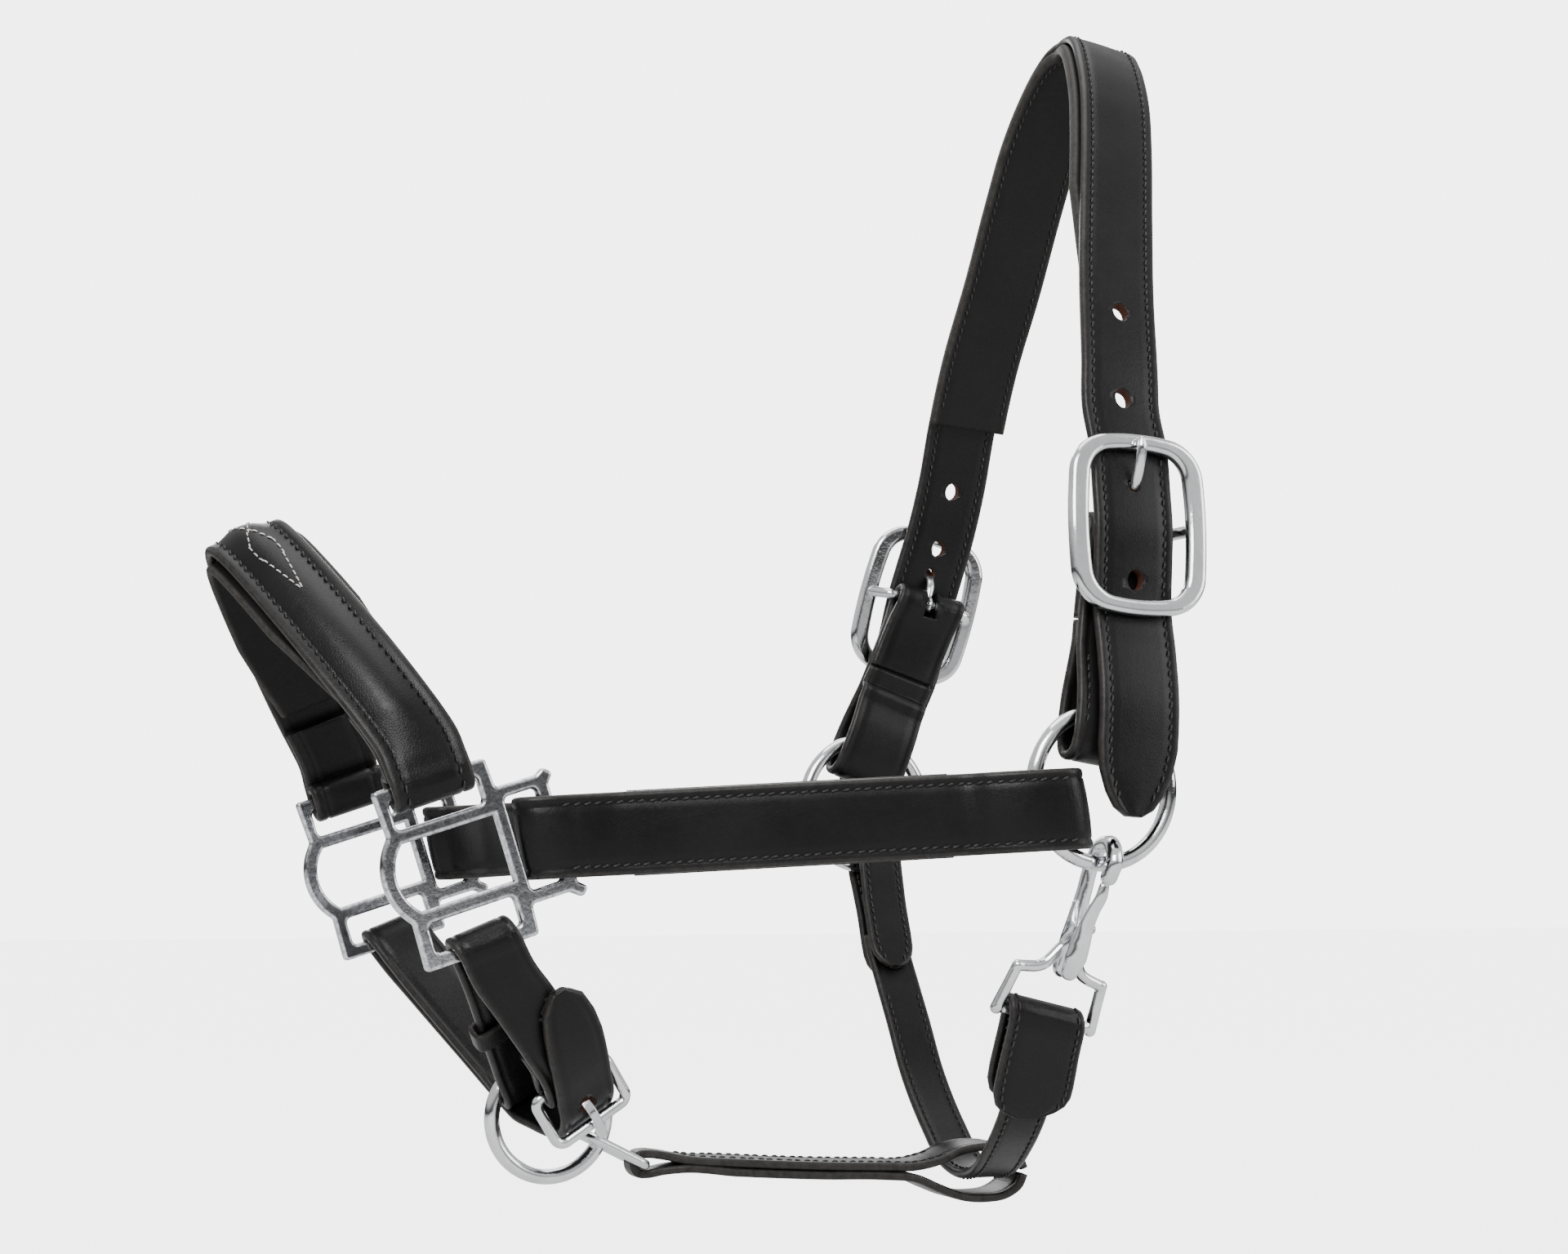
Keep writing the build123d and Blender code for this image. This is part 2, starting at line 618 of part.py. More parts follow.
throat_points = [
    at(-10.7, -69.1, -76.5), at(-9.7, -63.6, -84.0), at(-8.6, -57.5, -92.5), at(-7.9, -53.5, -98.0),
    at(-6.9, -46.0, -105.2), at(-5.0, -35.5, -112.2), at(-2.4, -23.5, -118.3), at(0, -11, -122.3),
    at(0.8, 0, -123.4), at(1.0, 12.0, -121.0), at(1.3, 27.0, -110.8), at(1.4, 45.5, -92.6),
    at(1.2, 57.5, -74.2), at(0.8, 66.0, -61.0), at(0.5, 73.3, -49.5), at(0.7, 76.4, -44.6),
]
throat_turn = [(-76, 0.0), (-60, 0.45), (-40, 0.75), (-10, 1.0)]
throat_acrosses = []
for point in throat_points:
    share = blend(throat_turn, point.Y)
    throat_acrosses.append(SNAP_ACROSS * (1 - share) + Vector(1, 0, 0) * share)
throat_solid = ribbon(throat_points, throat_acrosses, [THROAT_WIDTH] * 16, LEATHER)
with BuildPart() as throat_strap:
    add(throat_solid)


def tab_solid(head, foot, across, radius, run_out, long, width):
    """Folded tab: round a bar at its head, with the throat strap between its two leaves."""
    down = (foot - head).normalized()
    square_on = (across - down * across.dot(down)).normalized()
    out = square_on.cross(down).normalized()
    gap = LEATHER / 2 + 0.8 + THIN / 2
    leaf = [(long, gap), (long - 2.5, gap), (long - 7, gap), (long - 14, gap), (run_out, gap)]
    leaf += [(run_out * 0.55, (gap + radius) / 2 + 0.1)]
    widths = [width * 0.45, width * 0.72, width * 0.92, width, width, width]
    path = leaf + arc((0, 0), radius, 90, 270, 6) + [(run, -rise) for run, rise in reversed(leaf)]
    sizes = widths + [width] * 7 + list(reversed(widths))
    points = [head + down * run + out * rise for run, rise in path]
    acrosses = []
    for run, rise in path:
        share = blend([(8, 0.0), (long, 1.0)], run)
        acrosses.append(across * (1 - share) + square_on * share)
    return ribbon(points, acrosses, sizes, THIN)


near_tab_foot = at(-8.6, -57.5, -92.5)
near_tab_solid = tab_solid(EYE_CENTRE, near_tab_foot, SNAP_ACROSS, TAB_FOLD, 10, 38, 27)
with BuildPart() as near_throat_tab:
    add(near_tab_solid)

far_tab_head = at(4.1, 94.6, -15.5)
far_tab_foot = at(0.5, 73.3, -49.5)
far_tab_solid = tab_solid(far_tab_head, far_tab_foot, Vector(1, 0, 0), 5.4, 22, 50, 17)
with BuildPart() as far_throat_tab:
    add(far_tab_solid)


# Connecting strap from the lead ring's link back to a loop round the throat strap
LINK_DIR = Vector(0.89, 0, -0.456).normalized()
link_plane = Plane(origin=LEAD_CENTRE, x_dir=LINK_DIR, z_dir=LINK_DIR.cross(Vector(0, 1, 0)))
LINK_WIRE = 1.6
LINK_END = 35.0
link_corners = [(13.0, -7.6), (13.0, 7.6), (LINK_END, 7.6), (LINK_END, -7.6)]
link_solid = wire_loop(link_plane, link_corners, 3.2, LINK_WIRE)
with BuildPart() as connector_link:
    add(link_solid)

link_end = LEAD_CENTRE + LINK_DIR * LINK_END
eye_x = link_end.X + CROWN_X
eye_z = link_end.Z + CROWN_Z
loop_x = 0.2
loop_z = -122.8
connector_path = [(loop_x + 14.6, loop_z + 1.0), (loop_x + 13.0, loop_z + 4.4)]
connector_path += [(loop_x + 8.5, loop_z + 7.4), (loop_x, loop_z + 8.6)]
connector_path += [(loop_x - 9, loop_z + 7.6), (loop_x - 17, loop_z + 4.6), (-26, -119.8)]
connector_path += [(-36, -119.4), (-60, -118.2), (-90, -116.0), (-108, -114.4)]
connector_path += [(eye_x + 6.5, eye_z + 2.6)]
connector_path += arc((eye_x, eye_z), 3.3, 80, 280, 6)
connector_path += [(eye_x + 6.5, eye_z - 2.4), (-108, -117.5), (-90, -119.1), (-60, -121.3)]
connector_path += [(-36, -122.5), (-26, -123.6), (loop_x - 17, loop_z - 4.6)]
connector_path += [(loop_x - 9, loop_z - 7.6), (loop_x, loop_z - 8.6), (loop_x + 8.5, loop_z - 7.4)]
connector_path += [(loop_x + 13.0, loop_z - 4.4), (loop_x + 14.6, loop_z - 1.0)]
connector_points = [at(x, 0, z) for x, z in connector_path]
CONNECTOR_TAPER = [(-118, 8.4), (-110, 12.0), (-98, 18.2), (-90, CONNECTOR_WIDTH)]
connector_widths = [blend(CONNECTOR_TAPER, x) for x, z in connector_path]
connector_solid = ribbon(connector_points, [Vector(0, 1, 0)] * len(connector_points),
                         connector_widths, THIN)
with BuildPart() as connector_strap:
    add(connector_solid)


# Chin strap: buckle end, near run, lead ring, far runs, lead ring again and billet
CHIN_LEAN = 32.9
CHIN_THICK = 3.0
CHIN_FOLD = 5.0
CHIN_BAR = (27.0, 55.0)  # chin buckle's bar: out from the middle and down from the squares' bars


def chin_point(out, down, aside):
    """Point of the chin strap: sideways, down toward the lead ring and along the ring's wire."""
    forward = sin(radians(CHIN_LEAN)) * down + cos(radians(CHIN_LEAN)) * aside
    rise = sin(radians(CHIN_LEAN)) * aside - cos(radians(CHIN_LEAN)) * down
    return at(-189.1 + forward, out, -42.9 + rise)


fold_start = degrees(atan2(0.713, 0.701))
far_fold = arc((SQUARE_Y, 0), CHIN_FOLD, fold_start - 180, fold_start, 6)
near_fold = [(-out, down) for out, down in reversed(far_fold)]
inner_v = [(-47.5, 5.5), (-42.0, 12.4), (-30.0, 25.0), (-18.0, 37.6), (-9.0, 47.4), (-4.0, 54.4)]
inner_v += [(0, 56.9), (4.0, 54.4), (9.0, 47.4), (18.0, 37.6), (30.0, 25.0), (42.0, 12.4)]
inner_v += [(47.5, 5.5)]
buckle_fold = CHIN_THICK / 2 + 0.2 + 1.8
bar_y, bar_t = -CHIN_BAR[0], CHIN_BAR[1]
chin_chape = [(-39.2, 38.2), (-34.2, 45.2), (bar_y - 2.2, bar_t - 6.5)]
chin_chape += arc((bar_y, bar_t), buckle_fold, -36, 144, 6)
chin_chape += [(-36.0, 49.0), (-41.6, 41.0), (-47.0, 32.0), (-52.6, 21.0), (-57.8, 10.0)]
far_outer = [(56.8, 8.4), (47.0, 17.2), (34.0, 29.2), (22.0, 40.8), (12.0, 51.2), (5.0, 58.2)]
chin_billet = [(0, 61.4), (-6.0, 65.0), (-13.0, 68.6), (-20.5, 69.4), (-27.0, 65.6)]
chin_billet += [(-32.4, 59.0), (-38.4, 51.8), (-44.4, 43.2), (-48.6, 36.0), (-51.6, 29.6)]
chin_billet += [(-53.0, 26.4), (-53.6, 24.8)]
chin_path = chin_chape + near_fold + inner_v + far_fold + far_outer + chin_billet
billet_first = len(chin_path) - len(chin_billet)
chin_points = []
chin_acrosses = []
chin_widths = []
for index, (out, down) in enumerate(chin_path):
    aside = 0.0
    if index < len(chin_chape):
        aside = blend([(10, 0.0), (50, 6.6)], down)
    if index >= billet_first:
        aside = blend([(0, 0.0), (24, 6.6), (54, 12.0)], -out)
    width = CHIN_WIDTH
    if index >= len(chin_path) - 4:
        width = [18.4, 15.0, 9.0, 5.0][index - len(chin_path) + 4]
    chin_points.append(chin_point(out, down, aside))
    chin_acrosses.append(tilted(blend([(0, 20.0), (30, CHIN_LEAN)], abs(down))))
    chin_widths.append(width)
chin_band = ribbon(chin_points, chin_acrosses, chin_widths, CHIN_THICK)


# Chin buckle: its heel is the bar, its far rail lies over the billet
CHIN_DOWN = Vector(0.6, 0.8, 0)
CHIN_OUT = Vector(-0.8, 0.6, 0)


def chin_vector(pair):
    """Direction in space of a sideways and downward pair."""
    return chin_point(pair.X, pair.Y, 0) - chin_point(0, 0, 0)


chin_bar_centre = chin_point(bar_y, bar_t, 6.6)
chin_across = tilted(CHIN_LEAN)
chin_rail = chin_vector(CHIN_DOWN * 14.5 + CHIN_OUT * 8.4)
chin_frame_plane = Plane(origin=chin_bar_centre, x_dir=chin_across,
                         z_dir=chin_across.cross(chin_rail))
CHIN_FRAME = chin_rail.length
chin_corners = [(-13.4, 0), (-13.4, CHIN_FRAME), (13.4, CHIN_FRAME), (13.4, 0)]
chin_frame_solid = wire_loop(chin_frame_plane, chin_corners, 3.0, 1.8)
with BuildPart() as chin_buckle:
    add(chin_frame_solid)

chin_side_plane = Plane(origin=chin_bar_centre, x_dir=chin_vector(CHIN_DOWN),
                        z_dir=chin_vector(CHIN_DOWN).cross(chin_vector(CHIN_OUT)))
chin_tongue_path = [(2.0, 1.4), (4.0, 3.6), (5.6, 6.4), (7.4, 9.4), (10.4, 11.4), (14.6, 12.4),
                    (17.0, 12.3)]
chin_tongue_solid = tongue_profile_solid(chin_side_plane, 1.8, chin_tongue_path, 2.4, 2.8)
with BuildPart() as chin_tongue:
    add(chin_tongue_solid)

with BuildPart() as chin_cuts:
    with BuildSketch(chin_side_plane):
        with Locations((1.6, -0.2)):
            Rectangle(10.8, 10.4)
    extrude(amount=2.2, both=True)

with BuildPart() as billet_hole:
    with BuildSketch(Plane(origin=chin_side_plane.from_local_coords(Vector(5.8, 6.6, 0)),
                           x_dir=chin_across, z_dir=chin_vector(CHIN_OUT))):
        SlotOverall(7.0, 5.6, rotation=90)
    extrude(amount=3.4, both=True)

# Keeper: a small leather loop round the near inner run
keeper_mid = chin_point(-27.0, 28.1, 0)
keeper_down = chin_vector(Vector(0.69, 0.72, 0)).normalized()
with BuildPart() as chin_keeper:
    with BuildSketch(Plane(origin=keeper_mid, x_dir=tilted(CHIN_LEAN), z_dir=keeper_down)):
        RectangleRounded(25.4, 8.0, 1.6)
        RectangleRounded(21.6, 4.2, 0.6, mode=Mode.SUBTRACT)
    extrude(amount=4.0, both=True)

with BuildPart() as chin_strap:
    add(chin_band)
    add(chin_cuts.part, mode=Mode.SUBTRACT)
    add(billet_hole.part, mode=Mode.SUBTRACT)

# Exports
near_throat_ring.part.label = "near_throat_ring"
export_step(near_throat_ring.part, "parts/near_throat_ring.step")
far_throat_ring.part.label = "far_throat_ring"
export_step(far_throat_ring.part, "parts/far_throat_ring.step")
lead_ring.part.label = "lead_ring"
export_step(lead_ring.part, "parts/lead_ring.step")
near_square.part.label = "near_square"
export_step(near_square.part, "parts/near_square.step")
far_square.part.label = "far_square"
export_step(far_square.part, "parts/far_square.step")
noseband_strap.part.label = "noseband_strap"
export_step(noseband_strap.part, "parts/noseband_strap.step")
noseband_pad.part.label = "noseband_pad"
export_step(noseband_pad.part, "parts/noseband_pad.step")
noseband_lining.part.label = "noseband_lining"
export_step(noseband_lining.part, "parts/noseband_lining.step")
near_cheek_strap.part.label = "near_cheek_strap"
export_step(near_cheek_strap.part, "parts/near_cheek_strap.step")
near_cheek_lining.part.label = "near_cheek_lining"
export_step(near_cheek_lining.part, "parts/near_cheek_lining.step")
far_cheek_strap.part.label = "far_cheek_strap"
export_step(far_cheek_strap.part, "parts/far_cheek_strap.step")
far_cheek_lining.part.label = "far_cheek_lining"
export_step(far_cheek_lining.part, "parts/far_cheek_lining.step")
near_crown_buckle.part.label = "near_crown_buckle"
export_step(near_crown_buckle.part, "parts/near_crown_buckle.step")
far_crown_buckle.part.label = "far_crown_buckle"
export_step(far_crown_buckle.part, "parts/far_crown_buckle.step")
near_crown_tongue.part.label = "near_crown_tongue"
export_step(near_crown_tongue.part, "parts/near_crown_tongue.step")
far_crown_tongue.part.label = "far_crown_tongue"
export_step(far_crown_tongue.part, "parts/far_crown_tongue.step")
near_chape.part.label = "near_chape"
export_step(near_chape.part, "parts/near_chape.step")
far_chape.part.label = "far_chape"
export_step(far_chape.part, "parts/far_chape.step")
crown_strap.part.label = "crown_strap"
export_step(crown_strap.part, "parts/crown_strap.step")
crown_lining.part.label = "crown_lining"
export_step(crown_lining.part, "parts/crown_lining.step")
snap_hook.part.label = "snap_hook"
export_step(snap_hook.part, "parts/snap_hook.step")
snap_gate.part.label = "snap_gate"
export_step(snap_gate.part, "parts/snap_gate.step")
snap_pin.part.label = "snap_pin"
export_step(snap_pin.part, "parts/snap_pin.step")
throat_strap.part.label = "throat_strap"
export_step(throat_strap.part, "parts/throat_strap.step")
near_throat_tab.part.label = "near_throat_tab"
export_step(near_throat_tab.part, "parts/near_throat_tab.step")
far_throat_tab.part.label = "far_throat_tab"
export_step(far_throat_tab.part, "parts/far_throat_tab.step")
connector_link.part.label = "connector_link"
export_step(connector_link.part, "parts/connector_link.step")
connector_strap.part.label = "connector_strap"
export_step(connector_strap.part, "parts/connector_strap.step")
chin_strap.part.label = "chin_strap"
export_step(chin_strap.part, "parts/chin_strap.step")
chin_buckle.part.label = "chin_buckle"
export_step(chin_buckle.part, "parts/chin_buckle.step")
chin_tongue.part.label = "chin_tongue"
export_step(chin_tongue.part, "parts/chin_tongue.step")
chin_keeper.part.label = "chin_keeper"
export_step(chin_keeper.part, "parts/chin_keeper.step")
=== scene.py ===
import json
import math

import bmesh
import bpy
from mathutils import Matrix, Vector


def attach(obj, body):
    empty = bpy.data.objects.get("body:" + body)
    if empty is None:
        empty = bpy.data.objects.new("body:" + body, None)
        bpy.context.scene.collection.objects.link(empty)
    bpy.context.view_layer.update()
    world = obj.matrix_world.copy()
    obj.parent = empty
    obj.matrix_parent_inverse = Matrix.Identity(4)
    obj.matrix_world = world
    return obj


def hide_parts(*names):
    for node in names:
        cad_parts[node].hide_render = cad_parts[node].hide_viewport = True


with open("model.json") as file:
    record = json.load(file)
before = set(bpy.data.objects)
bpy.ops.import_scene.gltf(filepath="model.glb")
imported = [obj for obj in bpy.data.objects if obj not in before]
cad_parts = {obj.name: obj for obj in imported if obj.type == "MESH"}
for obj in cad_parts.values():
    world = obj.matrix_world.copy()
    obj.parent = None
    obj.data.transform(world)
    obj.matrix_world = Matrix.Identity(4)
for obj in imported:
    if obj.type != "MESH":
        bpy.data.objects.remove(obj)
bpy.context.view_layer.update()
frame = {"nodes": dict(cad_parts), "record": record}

NEAR, FAR = -1, 1
MM = 0.001


# ---------------------------------------------------------------- sizes, in millimetres
# the origin, measured from midway between the throat rings
CROWN_X, CROWN_Z = 50.3, 271.5
# half the distance between the squares, between the throat rings and between the crown buckles
SQUARE_Y, RING_Y, BUCKLE_Y = 57.0, 94.0, 88.5
# how far the noseband leans below and above its knee, in degrees, and the knee's height
FOOT_LEAN, NOSE_LEAN, KNEE = 19.0, 32.9, 14.0
# radii of the leather folds round the squares and the throat rings, measured at mid thickness
NOSE_FOLD, CHIN_FOLD, FRONT_FOLD, REAR_FOLD, CHAPE_FOLD = 4.5, 5.0, 5.6, 7.25, 5.2
# leather thicknesses; the chin strap has the chapes' and the connecting strap the tabs'
LEATHER, CHAPE_LEATHER, TAB_LEATHER, LINING_LEATHER = 3.2, 3.0, 2.8, 4.4
PAD_LEATHER, KEEPER_LEATHER = 2.0, 1.8
# strap widths; the noseband has the cheekpieces'
CHEEK_WIDTH, CROWN_WIDTH, THROAT_WIDTH, CHIN_WIDTH = 25.4, 28.0, 17.0, 20.0
LINING_WIDTH, NOSE_BASE_WIDTH, NOSE_PAD_WIDTH = 31.0, 31.0, 21.0
CHAPE_WIDTH, CHEEK_INNER_WIDTH, KEEPER_WIDTH = 27.4, 26.2, 8.0
# how far the noseband's padding lifts its top face, and the distance from stitch to stitch
NOSE_PUFF, PITCH = 2.3, 3.3
# indexes of the values in a station that frames gives
PLACE, ACROSS, ALONG, RUN = 0, 1, 3, 5


# ---------------------------------------------------------------- places, in millimetres
def at(x, y, z):
    """Position measured from midway between the throat rings, moved to the crown origin."""
    return Vector((x - CROWN_X, y, z - CROWN_Z))


def tilted(angle):
    return Vector((math.cos(math.radians(angle)), 0, math.sin(math.radians(angle))))


def arc(centre, radius, start, end, steps):
    points = []
    for step in range(steps + 1):
        angle = math.radians(start + (end - start) * step / steps)
        points.append((centre[0] + radius * math.cos(angle), centre[1] + radius * math.sin(angle)))
    return points


def shifted(path, distance):
    moved = []
    last = len(path) - 1
    for index, (x, y) in enumerate(path):
        x0, y0 = path[max(index - 1, 0)]
        x1, y1 = path[min(index + 1, last)]
        length = math.hypot(x1 - x0, y1 - y0)
        moved.append((x - (y1 - y0) / length * distance, y + (x1 - x0) / length * distance))
    return moved


def blend(table, value):
    if value <= table[0][0]:
        return table[0][1]
    for (low, first), (high, second) in zip(table, table[1:]):
        if value <= high:
            return first + (second - first) * (value - low) / (high - low)
    return table[-1][1]


def fine(points, acrosses, widths, step):
    """Stations closer together, on a cubic curve through the given ones."""
    last = len(points) - 1
    spans = [max((points[i + 1] - points[i]).length, 1e-6) for i in range(last)]
    slopes = []
    for i in range(last + 1):
        if i == 0:
            slopes.append((points[1] - points[0]) / spans[0])
        elif i == last:
            slopes.append((points[-1] - points[-2]) / spans[-1])
        else:
            before = (points[i] - points[i - 1]) / spans[i - 1]
            after = (points[i + 1] - points[i]) / spans[i]
            total = spans[i - 1] + spans[i]
            slopes.append((before * spans[i] + after * spans[i - 1]) / total)
    out = []
    for i in range(last):
        parts = max(2, math.ceil(spans[i] / step))
        for k in range(parts + (1 if i == last - 1 else 0)):
            t = k / parts
            h00 = 2 * t ** 3 - 3 * t ** 2 + 1
            h10 = t ** 3 - 2 * t ** 2 + t
            h01 = -2 * t ** 3 + 3 * t ** 2
            h11 = t ** 3 - t ** 2
            place = points[i] * h00 + slopes[i] * (h10 * spans[i])
            place += points[i + 1] * h01 + slopes[i + 1] * (h11 * spans[i])
            across = acrosses[i].lerp(acrosses[i + 1], t)
            out.append((place, across, widths[i] + (widths[i + 1] - widths[i]) * t))
    return out


# ---------------------------------------------------------------- materials
# bump depths and the radius of the metal's softened edges, in metres
PORES, CREASES, PATCHES, TWIST, SOFT_EDGE = 0.000018, 0.00035, 0.00012, 0.0002, 0.0008


class Shader:
    """A material's nodes, with short calls to add and join them."""

    def __init__(self, name):
        self.material = bpy.data.materials.new(name)
        self.material.use_nodes = True
        self.tree = self.material.node_tree
        self.main = self.tree.nodes["Principled BSDF"]

    def add(self, kind, **values):
        node = self.tree.nodes.new(kind)
        for key, value in values.items():
            setattr(node, key, value)
        return node

    def join(self, source, target):
        self.tree.links.new(source, target)

    def noise(self, vector, scale, detail=4.0, rough=0.5):
        node = self.add("ShaderNodeTexNoise")
        node.inputs["Scale"].default_value = scale
        node.inputs["Detail"].default_value = detail
        node.inputs["Roughness"].default_value = rough
        self.join(vector, node.inputs["Vector"])
        return node.outputs["Fac"]

    def ramp(self, source, low, high, first, second):
        node = self.add("ShaderNodeMapRange", clamp=True)
        for key, value in zip(("From Min", "From Max", "To Min", "To Max"), (low, high, first, second)):
            node.inputs[key].default_value = value
        self.join(source, node.inputs["Value"])
        return node.outputs["Result"]

    def math(self, operation, first, second):
        node = self.add("ShaderNodeMath", operation=operation)
        for slot, value in zip(node.inputs, (first, second)):
            if isinstance(value, (int, float)):
                slot.default_value = value
            else:
                self.join(value, slot)
        return node.outputs["Value"]

    def mix(self, share, first, second):
        node = self.add("ShaderNodeMix", data_type="RGBA")
        self.join(share, node.inputs["Factor"])
        for slot, value in ((node.inputs[6], first), (node.inputs[7], second)):
            if isinstance(value, tuple):
                slot.default_value = (*value, 1)
            else:
                self.join(value, slot)
        return node.outputs[2]

    def bump(self, height, depth, normal=None):
        node = self.add("ShaderNodeBump")
        node.inputs["Distance"].default_value = depth
        self.join(height, node.inputs["Height"])
        if normal is not None:
            self.join(normal, node.inputs["Normal"])
        return node.outputs["Normal"]

    def attribute(self, name):
        return self.add("ShaderNodeAttribute", attribute_name=name).outputs["Fac"]


def leather(name, dark, light, edge, rough_low, rough_high, grain):
    """Grained leather: pores, fine creases across bends, and another colour on its worn edges."""
    s = Shader(name)
    where = s.add("ShaderNodeTexCoord").outputs["Object"]
    patches = s.noise(where, 38, 5, 0.6)
    fine_noise = s.noise(where, 420, 3, 0.6)
    colour = s.mix(s.ramp(patches, 0.35, 0.7, 0, 1), dark, light)
    worn = s.math("MULTIPLY", s.attribute("edge"), s.ramp(fine_noise, 0.3, 0.7, 0.35, 1.0))
    s.join(s.mix(worn, colour, edge), s.main.inputs["Base Color"])
    rough = s.ramp(s.math("ADD", s.math("MULTIPLY", patches, 0.6), s.math("MULTIPLY", fine_noise, 0.4)),
                   0.35, 0.65, rough_low, rough_high)
    s.join(rough, s.main.inputs["Roughness"])
    s.main.inputs["Specular IOR Level"].default_value = 0.24
    cells = s.add("ShaderNodeTexVoronoi", feature="DISTANCE_TO_EDGE")
    cells.inputs["Scale"].default_value = grain
    warped = s.add("ShaderNodeVectorMath", operation="ADD")
    s.join(where, warped.inputs[0])
    shake = s.add("ShaderNodeVectorMath", operation="SCALE")
    wobble = s.add("ShaderNodeTexNoise")
    wobble.inputs["Scale"].default_value = 260
    s.join(where, wobble.inputs["Vector"])
    s.join(wobble.outputs["Color"], shake.inputs[0])
    shake.inputs["Scale"].default_value = 0.0011
    s.join(shake.outputs[0], warped.inputs[1])
    s.join(warped.outputs[0], cells.inputs["Vector"])
    pores = s.ramp(cells.outputs["Distance"], 0.0, 0.16, 0, 1)
    normal = s.bump(pores, PORES)
    together = s.add("ShaderNodeCombineXYZ")
    s.join(s.math("MULTIPLY", s.attribute("run"), 620), together.inputs[0])
    s.join(s.math("MULTIPLY", s.attribute("side"), 90), together.inputs[1])
    folds = s.noise(together.outputs[0], 1.0, 3, 0.55)
    creases = s.math("MULTIPLY", folds, s.attribute("bend"))
    normal = s.bump(creases, CREASES, normal)
    normal = s.bump(patches, PATCHES, normal)
    s.join(normal, s.main.inputs["Normal"])
    return s.material


def thread(name, dark, light, rough):
    """Waxed thread with its twist."""
    s = Shader(name)
    where = s.add("ShaderNodeTexCoord").outputs["Object"]
    twist = s.add("ShaderNodeTexWave", wave_type="BANDS", bands_direction="DIAGONAL")
    twist.inputs["Scale"].default_value = 520
    twist.inputs["Distortion"].default_value = 1.5
    s.join(where, twist.inputs["Vector"])
    fuzz = s.noise(where, 900, 3)
    s.join(s.mix(fuzz, dark, light), s.main.inputs["Base Color"])
    s.join(s.ramp(fuzz, 0.3, 0.7, rough, rough + 0.2), s.main.inputs["Roughness"])
    s.join(s.bump(twist.outputs["Fac"], TWIST), s.main.inputs["Normal"])
    return s.material


def metal(name, colour, rough_low, rough_high, pits, depth, shade=0.85):
    """Plated casting: bright, with an uneven skin and fine handling marks."""
    s = Shader(name)
    where = s.add("ShaderNodeTexCoord").outputs["Object"]
    skin = s.noise(where, pits, 4, 0.6)
    marks = s.noise(where, 1400, 2, 0.5)
    s.main.inputs["Metallic"].default_value = 1.0
    s.join(s.mix(s.ramp(skin, 0.42, 0.62, 0, 1), colour, tuple(c * shade for c in colour)),
           s.main.inputs["Base Color"])
    s.join(s.ramp(s.math("ADD", s.math("MULTIPLY", skin, 0.7), s.math("MULTIPLY", marks, 0.3)),
                  0.4, 0.65, rough_low, rough_high), s.main.inputs["Roughness"])
    softened = s.add("ShaderNodeBevel", samples=4)
    softened.inputs["Radius"].default_value = SOFT_EDGE
    s.join(s.bump(skin, depth, softened.outputs["Normal"]), s.main.inputs["Normal"])
    return s.material


STRAP = leather("strap_leather", (0.0022, 0.0021, 0.0024), (0.0052, 0.0049, 0.0052),
                (0.034, 0.032, 0.03), 0.3, 0.38, 1150)
LINING = leather("lining_leather", (0.003, 0.0029, 0.003), (0.0072, 0.0068, 0.0066),
                 (0.045, 0.042, 0.038), 0.5, 0.7, 900)
RAW = leather("raw_leather", (0.05, 0.017, 0.01), (0.1, 0.038, 0.022), (0.08, 0.035, 0.02), 0.7, 0.9, 1400)
THREAD = thread("black_thread", (0.006, 0.006, 0.007), (0.022, 0.021, 0.022), 0.34)
WHITE = thread("white_thread", (0.52, 0.5, 0.47), (0.78, 0.76, 0.72), 0.5)
CHROME = metal("chrome", (0.88, 0.89, 0.91), 0.05, 0.12, 90, 0.0001)
CAST = metal("cast_chrome", (0.86, 0.87, 0.91), 0.08, 0.22, 560, 0.00003, 0.5)
STEEL = metal("steel", (0.55, 0.56, 0.58), 0.28, 0.42, 500, 0.0001)


# ---------------------------------------------------------------- building meshes
def make(name, verts, faces, materials, extra=None, smooth=True):
    mesh = bpy.data.meshes.new(name)
    mesh.from_pydata([tuple(v * MM) for v in verts], [], faces)
    for material in materials:
        mesh.materials.append(material)
    for face in mesh.polygons:
        face.use_smooth = smooth and len(face.vertices) < 6
    for key, values in (extra or {}).items():
        mesh.attributes.new(key, "FLOAT", "POINT").data.foreach_set("value", values)
    obj = bpy.data.objects.new(name, mesh)
    bpy.context.scene.collection.objects.link(obj)
    return obj


